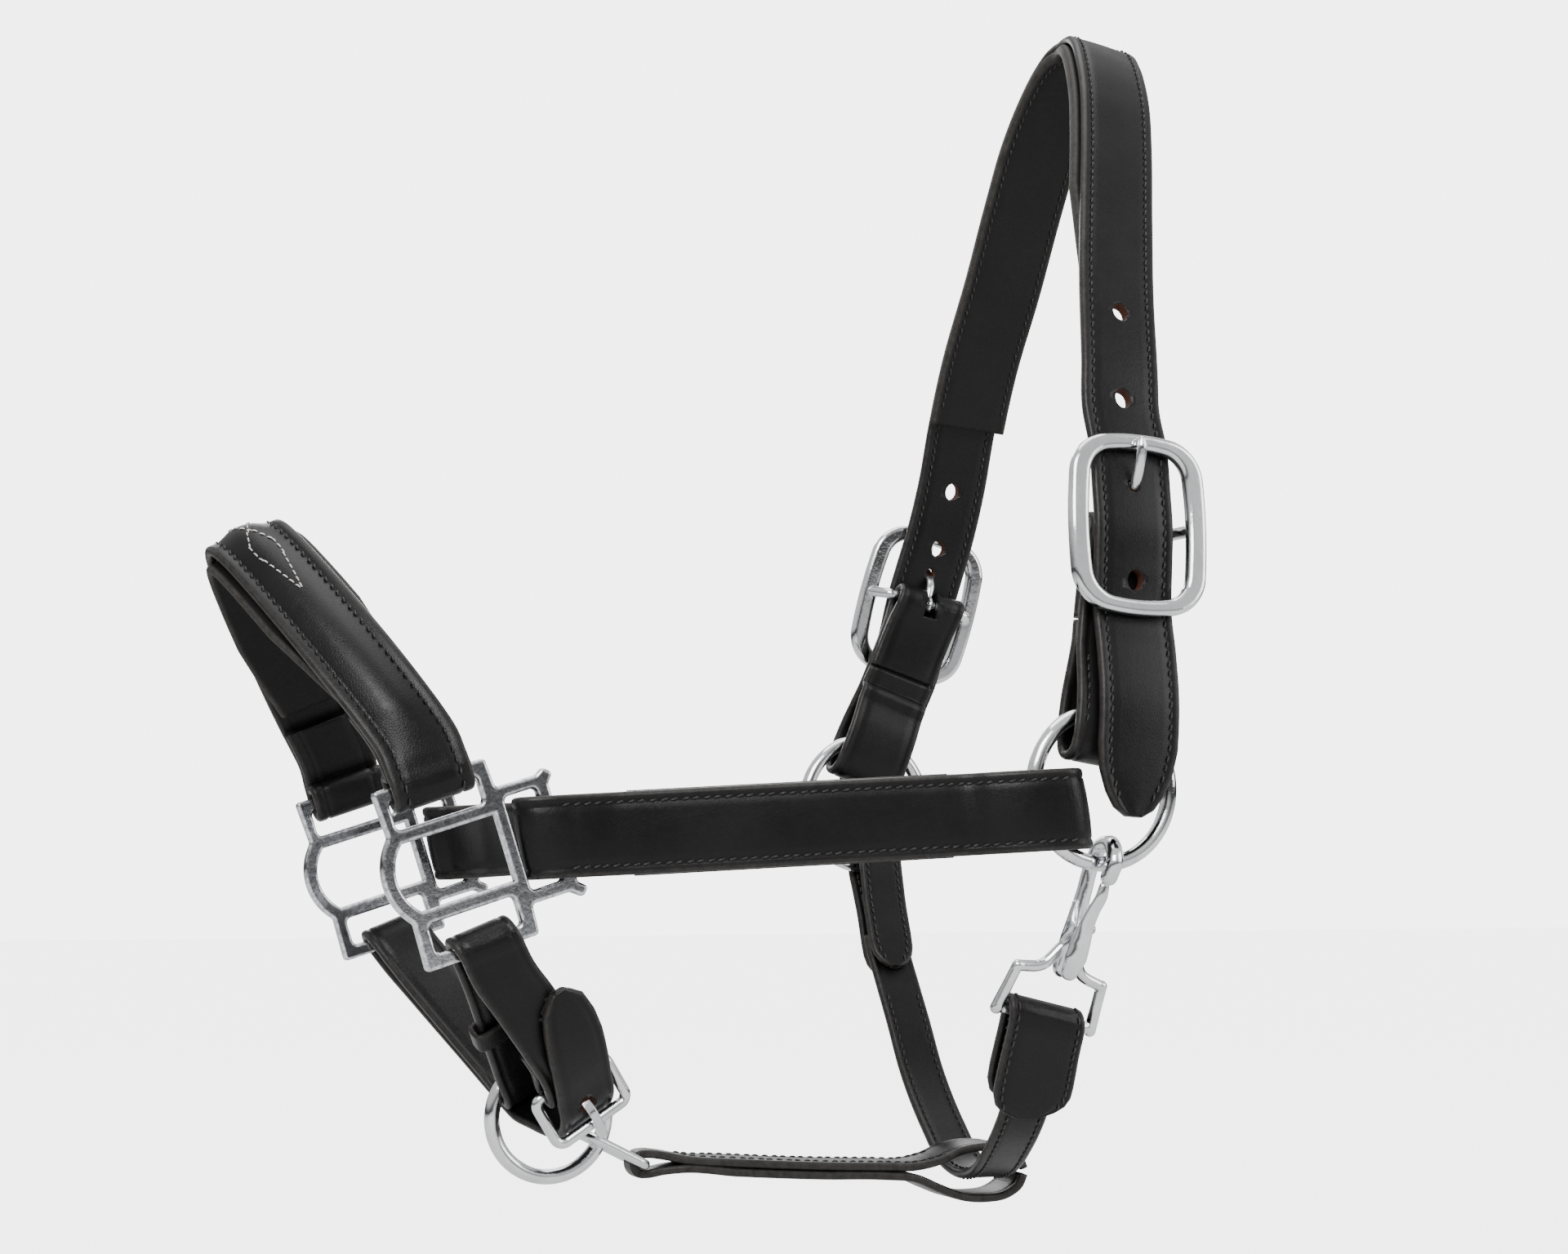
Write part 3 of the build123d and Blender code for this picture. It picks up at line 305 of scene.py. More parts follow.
def section(width, thick, inset, groove, puff, face):
    """Closed outline of a strap: (across, outward, edge share), rounded, with a groove by each edge."""
    half = width / 2
    # r rounds the edges; the groove's middle is g in from the edge, and it is e wide each way
    r = min(thick * 0.42, 1.35, half * 0.5)
    g = min(inset, half * 0.5)
    e = min(0.7, g * 0.3)
    depth = groove * min(max((width - 8) / 6, 0), 1)
    inner = half - g - e
    spots = [(half - r, 0), (half - g + e, 0), (half - g, depth), (inner, 0)]
    right = spots + [(inner * k / 4, 0) for k in (3, 2, 1)]
    tops = right + [(0, 0)] + [(-s, d) for s, d in reversed(right)]

    def dome(s):
        share = min(abs(s) / max(inner, 1e-6), 1)
        return puff * (1 - share ** 2.6) ** 1.6

    outline = []
    for k in range(4, 0, -1):
        a = math.radians(90 * (1 - k / 4))
        outline.append((half - r + r * math.cos(a), thick / 2 - r + r * math.sin(a), 1.0))
    for s, d in tops:
        outline.append((s, thick / 2 - d + dome(s), 0.35 if abs(s) > half - r - 0.01 else 0.0))
    for k in range(1, 5):
        a = math.radians(90 + 90 * k / 4)
        outline.append((-half + r + r * math.cos(a), thick / 2 - r + r * math.sin(a), 1.0))
    for k in range(4):
        a = math.radians(180 + 90 * k / 4)
        outline.append((-half + r + r * math.cos(a), -thick / 2 + r + r * math.sin(a), 1.0))
    for s, d in reversed(tops):
        outline.append((s, -thick / 2 + d * 0.7, 0.35 if abs(s) > half - r - 0.01 else 0.0))
    for k in range(1, 4):
        a = math.radians(270 + 90 * k / 4)
        outline.append((half - r + r * math.cos(a), -thick / 2 + r + r * math.sin(a), 1.0))
    return [(s, h * face, edge) for s, h, edge in outline]


def frames(points, acrosses, widths, step=1.5):
    """Stations with place, across, outward, along, width and run so far."""
    fine_set = fine(points, acrosses, widths, step)
    last = len(fine_set) - 1
    out = []
    run = 0.0
    for i, (place, across, width) in enumerate(fine_set):
        ahead = fine_set[min(i + 1, last)][0] - fine_set[max(i - 1, 0)][0]
        across = across.normalized()
        along = (ahead - across * ahead.dot(across)).normalized()
        if i:
            run += (place - fine_set[i - 1][0]).length
        out.append((place, across, across.cross(along), along, width, run))
    return out


def strap(name, body, nodes, points, acrosses, widths, thick, material, slot,
          inset=3.2, groove=0.3, puff=0.0, face=1, puff_range=None):
    """Leather strap through stations, riding on a body and standing for CAD nodes."""
    stations = frames(points, acrosses, widths)
    verts, run_values, side_values, edge_values, bend_values = [], [], [], [], []
    last = len(stations) - 1
    total = stations[-1][RUN]
    for i, (place, across, out, _, width, run) in enumerate(stations):
        lift = puff
        if puff_range:
            lift = puff * blend(puff_range, run if run < total / 2 else total - run)
        turn = (stations[min(i + 2, last)][ALONG] - stations[max(i - 2, 0)][ALONG]).length
        gap = max(stations[min(i + 2, last)][RUN] - stations[max(i - 2, 0)][RUN], 1e-3)
        bend = min(turn / gap * 5.0, 1.0)
        for s, h, edge in section(width, thick, inset, groove, lift, face):
            verts.append(place + across * s + out * h)
            run_values.append(run * MM)
            side_values.append(s * MM)
            edge_values.append(edge)
            bend_values.append(bend)
    size = len(verts) // (last + 1)
    faces = []
    for i in range(last):
        for k in range(size):
            a, b = i * size + k, i * size + (k + 1) % size
            faces.append((a, b, b + size, a + size))
    faces.append(tuple(range(size)))
    faces.append(tuple(reversed(range(last * size, (last + 1) * size))))
    obj = make(name, verts, faces, [material], {
        "run": run_values, "side": side_values, "edge": edge_values, "bend": bend_values})
    outward(obj)
    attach(obj, body)
    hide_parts(*nodes)
    return obj


def outward(obj):
    """Faces all pointing out of a closed mesh."""
    shape = bmesh.new()
    shape.from_mesh(obj.data)
    bmesh.ops.recalc_face_normals(shape, faces=shape.faces)
    shape.to_mesh(obj.data)
    shape.free()


def stitch_mesh(name, body, seats, material, length=2.5, radius=0.4):
    """Rows of stitches: each a rounded thread that dips into the leather at both ends."""
    verts, faces = [], []
    rings = [(-1.0, 0.25, -0.42), (-0.78, 0.8, -0.12), (-0.35, 1.0, 0.06), (0.35, 1.0, 0.06),
             (0.78, 0.8, -0.12), (1.0, 0.25, -0.42)]
    for place, along, across, out in seats:
        base = len(verts)
        for t, size, rise in rings:
            for k in range(7):
                a = 2 * math.pi * k / 7
                verts.append(place + along * (t * length / 2)
                             + across * (radius * size * math.cos(a) + t * 0.2)
                             + out * (radius * size * math.sin(a) * 0.85 + rise))
        for i in range(len(rings) - 1):
            for k in range(7):
                a, b = base + i * 7 + k, base + i * 7 + (k + 1) % 7
                faces.append((a, b, b + 7, a + 7))
        faces.append(tuple(base + k for k in range(7)))
        faces.append(tuple(base + (len(rings) - 1) * 7 + k for k in reversed(range(7))))
    obj = make(name, verts, faces, [material])
    outward(obj)
    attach(obj, body)


def rows(points, acrosses, widths, thick, inset, start, end, faces=(1, -1)):
    """Seats of stitches beside a strap's edges, between two distances along it."""
    stations = frames(points, acrosses, widths, 0.6)
    seats = []
    total = stations[-1][RUN]
    end = end if end > 0 else total + end
    goal = start
    for place, across, out, along, width, run in stations:
        if run < goal or run > end:
            continue
        goal += PITCH
        off = width / 2 - min(inset, width * 0.25)
        for side in (1, -1):
            for face in faces:
                seats.append((place + across * (off * side) + out * (face * (thick / 2 + 0.12)),
                              along, across, out * face))
    return seats


# ---------------------------------------------------------------- noseband
NOSE_ACROSS = [(14, 19.0), (40, 26.0), (90, 25.0)]
nose_outer = [
    (60.6, 6), (58.6, 12.5), (56.0, 20), (52.6, 28), (48.5, 36), (43.6, 44.5), (37.8, 53.5),
    (31.4, 62.5), (25.0, 71.0), (18.6, 78.8), (12.6, 85.2), (6.4, 89.8), (0, 91.6),
]


def nose_point(side, out, up):
    low = min(up, KNEE)
    high = max(up - KNEE, 0)
    forward = low * math.sin(math.radians(FOOT_LEAN)) + high * math.sin(math.radians(NOSE_LEAN))
    rise = low * math.cos(math.radians(FOOT_LEAN)) + high * math.cos(math.radians(NOSE_LEAN))
    return at(-206.9 - forward, side * out, 5.5 + rise)


def nose_set(half, width):
    points = [nose_point(NEAR, out, up) for out, up in half]
    points += [nose_point(FAR, out, up) for out, up in reversed(half[:-1])]
    ups = [up for out, up in half] + [up for out, up in reversed(half[:-1])]
    return points, [tilted(blend(NOSE_ACROSS, up)) for up in ups], [width] * len(points)


def tapered(points, acrosses, widths, end, step):
    """The same layer, drawn in to a narrower width at both ends."""
    last = len(widths) - 1
    narrowed = [min(width, end + step * min(k, last - k)) for k, width in enumerate(widths)]
    return points, acrosses, narrowed


nose_turn = list(reversed(shifted(nose_outer[:4], 3.4))) + [(SQUARE_Y - NOSE_FOLD + 0.4, 5.0)]
nose_fold = arc((SQUARE_Y, 0), NOSE_FOLD, 180, 360, 6)
nose_full = nose_set(nose_turn + nose_fold + nose_outer, CHEEK_WIDTH)
nose_lift = [(52, 0.0), (72, 1.0)]
strap("noseband_top", "nose", ["noseband_strap"], *nose_full, LEATHER, STRAP,
      "strap_leather", inset=4.0, groove=0.45, puff=NOSE_PUFF, puff_range=nose_lift)
nose_pad = nose_set(shifted(nose_outer, 2.75)[4:-1] + [(0, 88.85)], NOSE_PAD_WIDTH)
strap("noseband_middle", "nose", ["noseband_pad"], *tapered(*nose_pad, 19.0, 2.6), PAD_LEATHER,
      LINING, "lining_leather", groove=0)
nose_base = nose_set(shifted(nose_outer, 5.5)[4:-1] + [(0, 86.1)], NOSE_BASE_WIDTH)
strap("noseband_base", "nose", ["noseband_lining"], *tapered(*nose_base, 23.0, 2.6), LEATHER,
      LINING, "lining_leather", inset=2.6, groove=0.2)
stitch_mesh("noseband_stitches", "nose",
            rows(*nose_full, LEATHER, 4.0, 44, -44, faces=(1,)), THREAD)


# ---------------------------------------------------------------- cheekpieces
FRONT, REAR = at(-168.1, 0, -10.6), at(-20.5, 0, -2.0)
CHEEK_TILT = [(0, 12.0), (35, 3.2), (110, 3.2), (150, 9.0)]


def cheek_set(side, path, width):
    front = Vector((FRONT.x, side * SQUARE_Y, FRONT.z))
    rear = Vector((REAR.x, side * RING_Y, REAR.z))
    along = (rear - front).normalized()
    out = Vector((-along.y * side, along.x * side, 0)).normalized()
    points = [front + along * run + out * rise for run, rise in path]
    acrosses = [tilted(90 + blend(CHEEK_TILT, run)) for run, rise in path]
    return points, acrosses, [width] * len(points)


SPAN = (Vector((REAR.x, RING_Y, REAR.z)) - Vector((FRONT.x, SQUARE_Y, FRONT.z))).length
START, END = -3.6, SPAN + 4.9
cheek_path = [(START + 26, -1.7), (START + 21, -1.9), (START + 14, -3.4), (START + 7, -5.4)]
cheek_path += arc((START, 0), FRONT_FOLD, 270, 90, 6)
cheek_path += [(START + 7, 5.4), (START + 14, 3.4), (START + 21, 1.9), (START + 30, 1.7), (SPAN / 2, 1.7)]
cheek_path += [(END - 38, 1.7), (END - 28, 2.1), (END - 22, 4.8), (END - 13, REAR_FOLD)]
cheek_path += arc((END, 0), REAR_FOLD, 90, -90, 6)
cheek_path += [(END - 13, -REAR_FOLD), (END - 22, -4.8), (END - 28, -2.1), (END - 33, -1.7)]
inner_runs = (START + 27, START + 45, SPAN / 2, END - 50, END - 34.5)
cheek_inner = [(run, -1.75) for run in inner_runs]
for side, word in ((NEAR, "near"), (FAR, "far")):
    body = word + "_cheek"
    full = cheek_set(side, cheek_path, CHEEK_WIDTH)
    strap(word + "_cheek_outer", body, [word + "_cheek_strap"], *full, LEATHER, STRAP,
          "strap_leather", inset=3.1, groove=0.35, puff=0.35, face=side)
    strap(word + "_cheek_inner", body, [word + "_cheek_lining"],
          *cheek_set(side, cheek_inner, CHEEK_INNER_WIDTH), LEATHER, LINING,
          "lining_leather", inset=3.1, groove=0.2, face=side)
    stitch_mesh(word + "_cheek_stitches", body,
                rows(*full, LEATHER, 3.1, 52, -54, faces=(side,)), THREAD)


# ---------------------------------------------------------------- crown buckles' planes
class Seat:
    def __init__(self, side):
        x, z, lean = {NEAR: (11.5, 88.0, 2.0), FAR: (24.5, 82.0, 14.0)}[side]
        inward = -side * math.sin(math.radians(5.1))
        up = Vector((math.sin(math.radians(lean)), inward, math.cos(math.radians(lean)))).normalized()
        self.across = Vector((math.cos(math.radians(lean)), 0, -math.sin(math.radians(lean)))) * -side
        self.out = self.across.cross(up).normalized()
        self.up = self.out.cross(self.across)
        self.origin = at(x, side * BUCKLE_Y, z)

    def place(self, run, rise):
        return self.origin + self.up * run + self.out * rise


SEATS = {NEAR: Seat(NEAR), FAR: Seat(FAR)}


# ---------------------------------------------------------------- cutting holes
def cutter(name, shapes, material):
    """Mesh of oval or box prisms: (centre, across, up, half across, half up, half depth, sides)."""
    verts, faces = [], []
    for centre, across, up, wide, high, depth, sides in shapes:
        out = across.cross(up).normalized()
        base = len(verts)
        for end in (-1, 1):
            for k in range(sides):
                a = 2 * math.pi * (k + 0.5) / sides
                grow = math.sqrt(2) if sides == 4 else 1.0
                verts.append(centre + across * (wide * grow * math.cos(a))
                             + up * (high * grow * math.sin(a)) + out * (depth * end))
        for k in range(sides):
            a, b = base + k, base + (k + 1) % sides
            faces.append((a, b, b + sides, a + sides))
        faces.append(tuple(base + k for k in reversed(range(sides))))
        faces.append(tuple(base + sides + k for k in range(sides)))
    obj = make(name, verts, faces, [material], smooth=False)
    outward(obj)
    return obj


def cut(obj, shapes, material, crossing=False):
    """Takes the prisms out of a strap; the walls they leave are of the given material."""
    tool = cutter(obj.name + "_tool", shapes, material)
    if material.name not in obj.data.materials:
        obj.data.materials.append(material)
    change = obj.modifiers.new("holes", "BOOLEAN")
    change.operation = "DIFFERENCE"
    change.solver = "EXACT"
    change.use_self = crossing
    change.material_mode = "TRANSFER"
    change.object = tool
    graph = bpy.context.evaluated_depsgraph_get()
    made = bpy.data.meshes.new_from_object(obj.evaluated_get(graph), preserve_all_data_layers=True,
                                           depsgraph=graph)
    obj.modifiers.clear()
    obj.data = made
    bpy.data.objects.remove(tool)


# ---------------------------------------------------------------- chapes
for side, word in ((NEAR, "near"), (FAR, "far")):
    seat = SEATS[side]
    foot = at(0.5, side * 94.8, 18.6)
    up = (seat.origin - foot).normalized()
    long = (seat.origin - foot).length
    across = Vector((up.z, 0, -up.x)).normalized() * -side
    out = across.cross(up)
    path = [(long / 2 + 4, -1.7), (long / 2 - 4, -1.7), (30, -1.9), (24, -3.2), (15, -CHAPE_FOLD)]
    path += arc((0, 0), CHAPE_FOLD, 270, 90, 6)
    path += [(15, CHAPE_FOLD), (24, 3.2), (30, 1.9), (long / 2, 1.7), (long - 16, 1.7), (long - 10, 2.1)]
    path += arc((long, 0), 3.9, 90, -90, 6)
    path += [(long - 10, -2.1), (long - 16, -1.7), (long / 2 + 5, -1.7)]
    points = [foot + up * run + out * rise for run, rise in path]
    turned = []
    for run, rise in path:
        share = blend([(28, 0.0), (long - 12, 1.0)], run)
        turned.append(across * (1 - share) + seat.across * share)
    piece = (points, turned, [CHAPE_WIDTH] * len(points))
    made = strap(word + "_buckle_chape", "headpiece", [word + "_chape"], *piece, CHAPE_LEATHER, STRAP,
                 "strap_leather", inset=3.2, groove=0.3)
    cut(made, [(seat.origin + seat.up * 2, seat.across, seat.up, 2.5, 7.0, 7.0, 4)], STRAP)
    stitch_mesh(word + "_chape_stitches", "headpiece",
                rows(*piece, CHAPE_LEATHER, 3.2, 62, 84, faces=(1,)), THREAD)


# ---------------------------------------------------------------- crown
BILLET = [(-26, 5.1), (-13, 6.2), (0, 7.4), (13, 6.5), (26, 5.3)]
crown_points = [
    at(5.0, -104.6, -4), at(5.2, -104.5, -1.5), at(5.6, -104.4, 3), at(6.3, -104.2, 9.5),
    at(7.5, -103.9, 18), at(8.8, -103.0, 33), at(9.8, -99.8, 48),
]
crown_points += [SEATS[NEAR].place(run, rise) for run, rise in BILLET]
crown_points += [
    at(11.8, -88.0, 128), at(13.6, -84.4, 142), at(18.8, -73.6, 171), at(27.5, -58.6, 203),
    at(35.5, -45.0, 231), at(40.6, -35.0, 249), at(44.0, -26.2, 261), at(47.4, -16.4, 270.6),
    at(49.6, -8.2, 276.0), at(50.3, 0, 277.9), at(49.9, 8.2, 276.0), at(48.8, 16.4, 270.8),
    at(47.2, 26.2, 261.2), at(45.4, 35.4, 248.6), at(43.8, 45.0, 231), at(41.4, 58.5, 203),
    at(38.2, 73.4, 173), at(36.6, 82.4, 150), at(34.6, 87.6, 128),
]
crown_points += [SEATS[FAR].place(run, rise) for run, rise in reversed(BILLET)]
crown_points += [at(13.2, 101.2, 40), at(9.6, 103.4, 26), at(6.6, 104.0, 12), at(5.4, 104.2, 5.5)]
crown_points += [at(4.8, 104.3, 1), at(4.4, 104.4, -1.5)]
crown_ends = [6, 14, 20, 25.4]
crown_widths = crown_ends + [CROWN_WIDTH] * (len(crown_points) - 8) + list(reversed(crown_ends))
crown_acrosses = []
for index in range(len(crown_points)):
    run = crown_points[min(index + 1, len(crown_points) - 1)] - crown_points[max(index - 1, 0)]
    level = Vector((run.z, 0, -run.x))
    if level.x < 0:
        level = -level
    steep = abs(run.z) / run.length
    crown_acrosses.append((level.normalized() * steep + Vector((1, 0.03, -0.02)) * (1 - steep)).normalized())
crown_full = (crown_points, crown_acrosses, crown_widths)


def crown_hole(target, wide=2.75, long=3.3):
    """Seat of a hole at a place on the crown strap: the nearest station's directions."""
    near = min(crown_stations, key=lambda station: (station[PLACE] - target).length)
    return (near[PLACE], near[ACROSS], near[ALONG], wide, long, 6.0, 28)


crown_stations = frames(*crown_full)
crown_made = strap("crown_outer", "headpiece", ["crown_strap"], *crown_full, LEATHER, STRAP,
                   "strap_leather", inset=3.5, groove=0.35, puff=0.3)
snug_holes = [crown_hole(SEATS[side].place(12.4, 6.2), 1.7, 2.1) for side in (NEAR, FAR)]
hole_targets = [SEATS[NEAR].place(-17.0, 5.4)]
for index, share in ((12, 0.22), (13, 0.68), (30, 0.06), (31, 0.23)):
    hole_targets.append(crown_points[index].lerp(crown_points[index + 1], share))
cut(crown_made, snug_holes + [crown_hole(target) for target in hole_targets], RAW)
stitch_mesh("crown_stitches", "headpiece", rows(*crown_full, LEATHER, 3.5, 6, -6), THREAD)

first = min(range(len(crown_stations)),
            key=lambda i: (crown_stations[i][PLACE] - at(18.8, -73.6, 171)).length)
final = min(range(len(crown_stations)),
            key=lambda i: (crown_stations[i][PLACE] - at(36.6, 82.4, 150)).length)
lining_points, lining_acrosses = [], []
for place, across, out, *_ in crown_stations[first:final:6]:
    lining_points.append(place - out * (LEATHER / 2 + 0.45 + LINING_LEATHER / 2))
    lining_acrosses.append(across)
lining_widths = [min(LINING_WIDTH, 20.0 + 2.2 * k) for k in range(len(lining_points))]
lining_set = (lining_points, lining_acrosses, lining_widths)
strap("crown_inner", "headpiece", ["crown_lining"], *lining_set, LINING_LEATHER, LINING,
      "lining_leather", inset=3.0, groove=0.3)
stitch_mesh("lining_stitches", "headpiece",
            rows(*lining_set, LINING_LEATHER, 3.0, 5, -5, faces=(-1,)),
            THREAD, radius=0.36)


# ---------------------------------------------------------------- throat strap and tabs
SNAP_ACROSS = Vector((0.972, 0.02, -0.233)).normalized()
SNAP_UP = Vector((0.226, -0.339, 0.913))
SNAP_UP = (SNAP_UP - SNAP_ACROSS * SNAP_UP.dot(SNAP_ACROSS)).normalized()
throat_points = [
    at(-10.7, -69.1, -76.5), at(-9.7, -63.6, -84.0), at(-8.6, -57.5, -92.5), at(-7.9, -53.5, -98.0),
    at(-6.9, -46.0, -105.2), at(-5.0, -35.5, -112.2), at(-2.4, -23.5, -118.3), at(0, -11, -122.3),
    at(0.8, 0, -123.4), at(1.0, 12.0, -121.0), at(1.3, 27.0, -110.8), at(1.4, 45.5, -92.6),
    at(1.2, 57.5, -74.2), at(0.8, 66.0, -61.0), at(0.5, 73.3, -49.5), at(0.7, 76.4, -44.6),
]
throat_acrosses = []
for point in throat_points:
    share = blend([(-76, 0.0), (-60, 0.45), (-40, 0.75), (-10, 1.0)], point.y)
    throat_acrosses.append(SNAP_ACROSS * (1 - share) + Vector((1, 0, 0)) * share)
throat_set = (throat_points, throat_acrosses, [THROAT_WIDTH] * len(throat_points))
strap("throat_outer", "headpiece", ["throat_strap"], *throat_set, LEATHER, STRAP,
      "strap_leather", inset=2.6, groove=0.3, face=-1)
stitch_mesh("throat_stitches", "headpiece", rows(*throat_set, LEATHER, 2.6, 26, -24), THREAD)


def tab(word, head, foot, across, radius, run_out, long, width):
    down = (foot - head).normalized()
    square_on = (across - down * across.dot(down)).normalized()
    out = square_on.cross(down).normalized()
    gap = LEATHER / 2 + 0.8 + TAB_LEATHER / 2
    leaf = [(long, gap), (long - 0.9, gap), (long - 2.6, gap), (long - 5.2, gap), (long - 9, gap)]
    leaf += [(long - 14, gap), (run_out, gap), (run_out * 0.55, (gap + radius) / 2 + 0.1)]
    widths = [width * share for share in (0.14, 0.42, 0.68, 0.88, 0.98, 1, 1, 1)]
    path = leaf + arc((0, 0), radius, 90, 270, 6) + [(run, -rise) for run, rise in reversed(leaf)]
    widths = widths + [width] * 7 + list(reversed(widths))
    points = [head + down * run + out * rise for run, rise in path]
    turned = []
    for run, rise in path:
        share = blend([(8, 0.0), (long, 1.0)], run)
        turned.append(across * (1 - share) + square_on * share)
    full = (points, turned, widths)
    strap(word + "_tab", "headpiece", [word + "_throat_tab"], *full, TAB_LEATHER, STRAP,
          "strap_leather", inset=2.6, groove=0.3)
    seats = rows(*full, TAB_LEATHER, 2.6, 3, long * 0.7)
    seats += rows(*full, TAB_LEATHER, 2.6, -long * 0.7, -3)
    stitch_mesh(word + "_tab_stitches", "headpiece", seats, THREAD, length=2.6)


ring_foot = at(0, -RING_Y, 5.5 - 24.0)
tab("near", ring_foot + SNAP_UP * -53.0, at(-8.6, -57.5, -92.5), SNAP_ACROSS, 3.8, 10, 38, 27)
tab("far", at(4.1, 94.6, -15.5), at(0.5, 73.3, -49.5), Vector((1, 0, 0)), 5.4, 22, 50, 17)


# ---------------------------------------------------------------- connecting strap
LEAD = at(-152, 0, -99.7)
LINK = Vector((0.89, 0, -0.456)).normalized()
link_end = LEAD + LINK * 35.0
eye_x, eye_z = link_end.x + CROWN_X, link_end.z + CROWN_Z
loop = [(14.8, -121.8), (13.2, -118.4), (8.7, -115.4), (0.2, -114.2), (-8.8, -115.2), (-16.8, -118.2)]
path = loop + [(-26, -119.8), (-36, -119.4), (-60, -118.2), (-90, -116.0), (-108, -114.4)]
path += [(eye_x + 6.5, eye_z + 2.6)] + arc((eye_x, eye_z), 3.3, 80, 280, 6)
path += [(eye_x + 6.5, eye_z - 2.4), (-108, -117.5), (-90, -119.1), (-60, -121.3), (-36, -122.5)]
path += [(-26, -123.6), (-16.8, -127.4), (-8.8, -130.4), (0.2, -131.4), (8.7, -130.2), (13.2, -127.2)]
path += [(14.8, -123.8)]
TAPER = [(-118, 8.4), (-110, 12.0), (-98, 18.2), (-90, 19.0)]
connector_set = ([at(x, 0, z) for x, z in path], [Vector((0, 1, 0))] * len(path),
                 [blend(TAPER, x) for x, z in path])
strap("connector_band", "connector", ["connector_strap"], *connector_set, TAB_LEATHER, STRAP,
      "strap_leather", inset=2.8, groove=0.35)
stitch_mesh("connector_stitches", "connector",
            rows(*connector_set, TAB_LEATHER, 2.8, 34, 128, faces=(1,)), THREAD)


# ---------------------------------------------------------------- chin strap
LEAN = math.radians(NOSE_LEAN)


def chin_point(out, down, aside):
    forward = math.sin(LEAN) * down + math.cos(LEAN) * aside
    rise = math.sin(LEAN) * aside - math.cos(LEAN) * down
    return at(-189.1 + forward, out, -42.9 + rise)


start = math.degrees(math.atan2(0.713, 0.701))
far_fold = arc((SQUARE_Y, 0), CHIN_FOLD, start - 180, start, 6)
near_fold = [(-out, down) for out, down in reversed(far_fold)]
inner = [(-47.5, 5.5), (-42.0, 12.4), (-30.0, 25.0), (-18.0, 37.6), (-9.0, 47.4), (-4.0, 54.4)]
inner += [(0, 56.9), (4.0, 54.4), (9.0, 47.4), (18.0, 37.6), (30.0, 25.0), (42.0, 12.4), (47.5, 5.5)]
chape = [(-39.2, 38.2), (-34.2, 45.2), (-29.2, 48.5)] + arc((-27.0, 55.0), 3.5, -36, 144, 6)
chape += [(-36.0, 49.0), (-41.6, 41.0), (-47.0, 32.0), (-52.6, 21.0), (-57.8, 10.0)]
outer = [(56.8, 8.4), (47.0, 17.2), (34.0, 29.2), (22.0, 40.8), (12.0, 51.2), (5.0, 58.2)]
billet = [(0, 61.4), (-6.0, 65.0), (-13.0, 68.6), (-20.5, 69.4), (-27.0, 65.6), (-32.4, 59.0)]
billet += [(-38.4, 51.8), (-44.4, 43.2), (-48.6, 36.0), (-51.6, 29.6), (-53.0, 26.4), (-53.6, 24.8)]
chin_path = chape + near_fold + inner + far_fold + outer + billet
chin_points, chin_acrosses, chin_widths = [], [], []
for index, (out, down) in enumerate(chin_path):
    aside = 0.0
    if index < len(chape):
        aside = blend([(10, 0.0), (50, 6.6)], down)
    if index >= len(chin_path) - len(billet):
        aside = blend([(0, 0.0), (24, 6.6), (54, 12.0)], -out)
    left = len(chin_path) - index
    chin_points.append(chin_point(out, down, aside))
    chin_acrosses.append(tilted(blend([(0, 20.0), (30, NOSE_LEAN)], abs(down))))
    chin_widths.append([5.0, 9.0, 15.0, 18.4][left - 1] if left <= 4 else CHIN_WIDTH)
chin_made = strap("chin_band", "nose", ["chin_strap"], chin_points, chin_acrosses, chin_widths,
                  CHAPE_LEATHER, STRAP, "strap_leather", inset=2.6, groove=0.35)
bar = chin_point(-27.0, 55.0, 6.6)
chin_down = chin_point(0.6, 0.8, 0) - chin_point(0, 0, 0)
chin_out = chin_point(-0.8, 0.6, 0) - chin_point(0, 0, 0)
cut(chin_made, [
    (bar + chin_down * 1.6 - chin_out * 0.2, chin_down, chin_out, 5.4, 5.2, 2.2, 4),
    (bar + chin_down * 5.8 + chin_out * 6.6, tilted(NOSE_LEAN), chin_down, 2.8, 3.5, 3.4, 24)], RAW, True)
LEAST_CHIN_VERTICES = 2000
if len(chin_made.data.vertices) < LEAST_CHIN_VERTICES:
    raise SystemExit("the chin strap was lost by its cuts")

keeper_down = (chin_point(0.69, 0.72, 0) - chin_point(0, 0, 0)).normalized()
keeper_across = tilted(NOSE_LEAN)
keeper_out = keeper_across.cross(keeper_down)
keeper_mid = chin_point(-27.0, 28.1, 0)
loop_points, loop_acrosses = [], []
for k in range(33):
    a = 2 * math.pi * k / 32
    x = 11.7 * (abs(math.cos(a)) ** 0.32) * (1 if math.cos(a) > 0 else -1)
    y = 3.0 * (abs(math.sin(a)) ** 0.45) * (1 if math.sin(a) > 0 else -1)
    loop_points.append(keeper_mid + keeper_across * x + keeper_out * y)
    loop_acrosses.append(keeper_down)
strap("keeper_loop", "nose", ["chin_keeper"], loop_points, loop_acrosses,
      [KEEPER_WIDTH] * len(loop_points), KEEPER_LEATHER, STRAP, "strap_leather",
      inset=1.6, groove=0.2)


# ---------------------------------------------------------------- white stitch on the noseband
nose_stations = frames(*nose_full)
crest = len(nose_stations) // 2


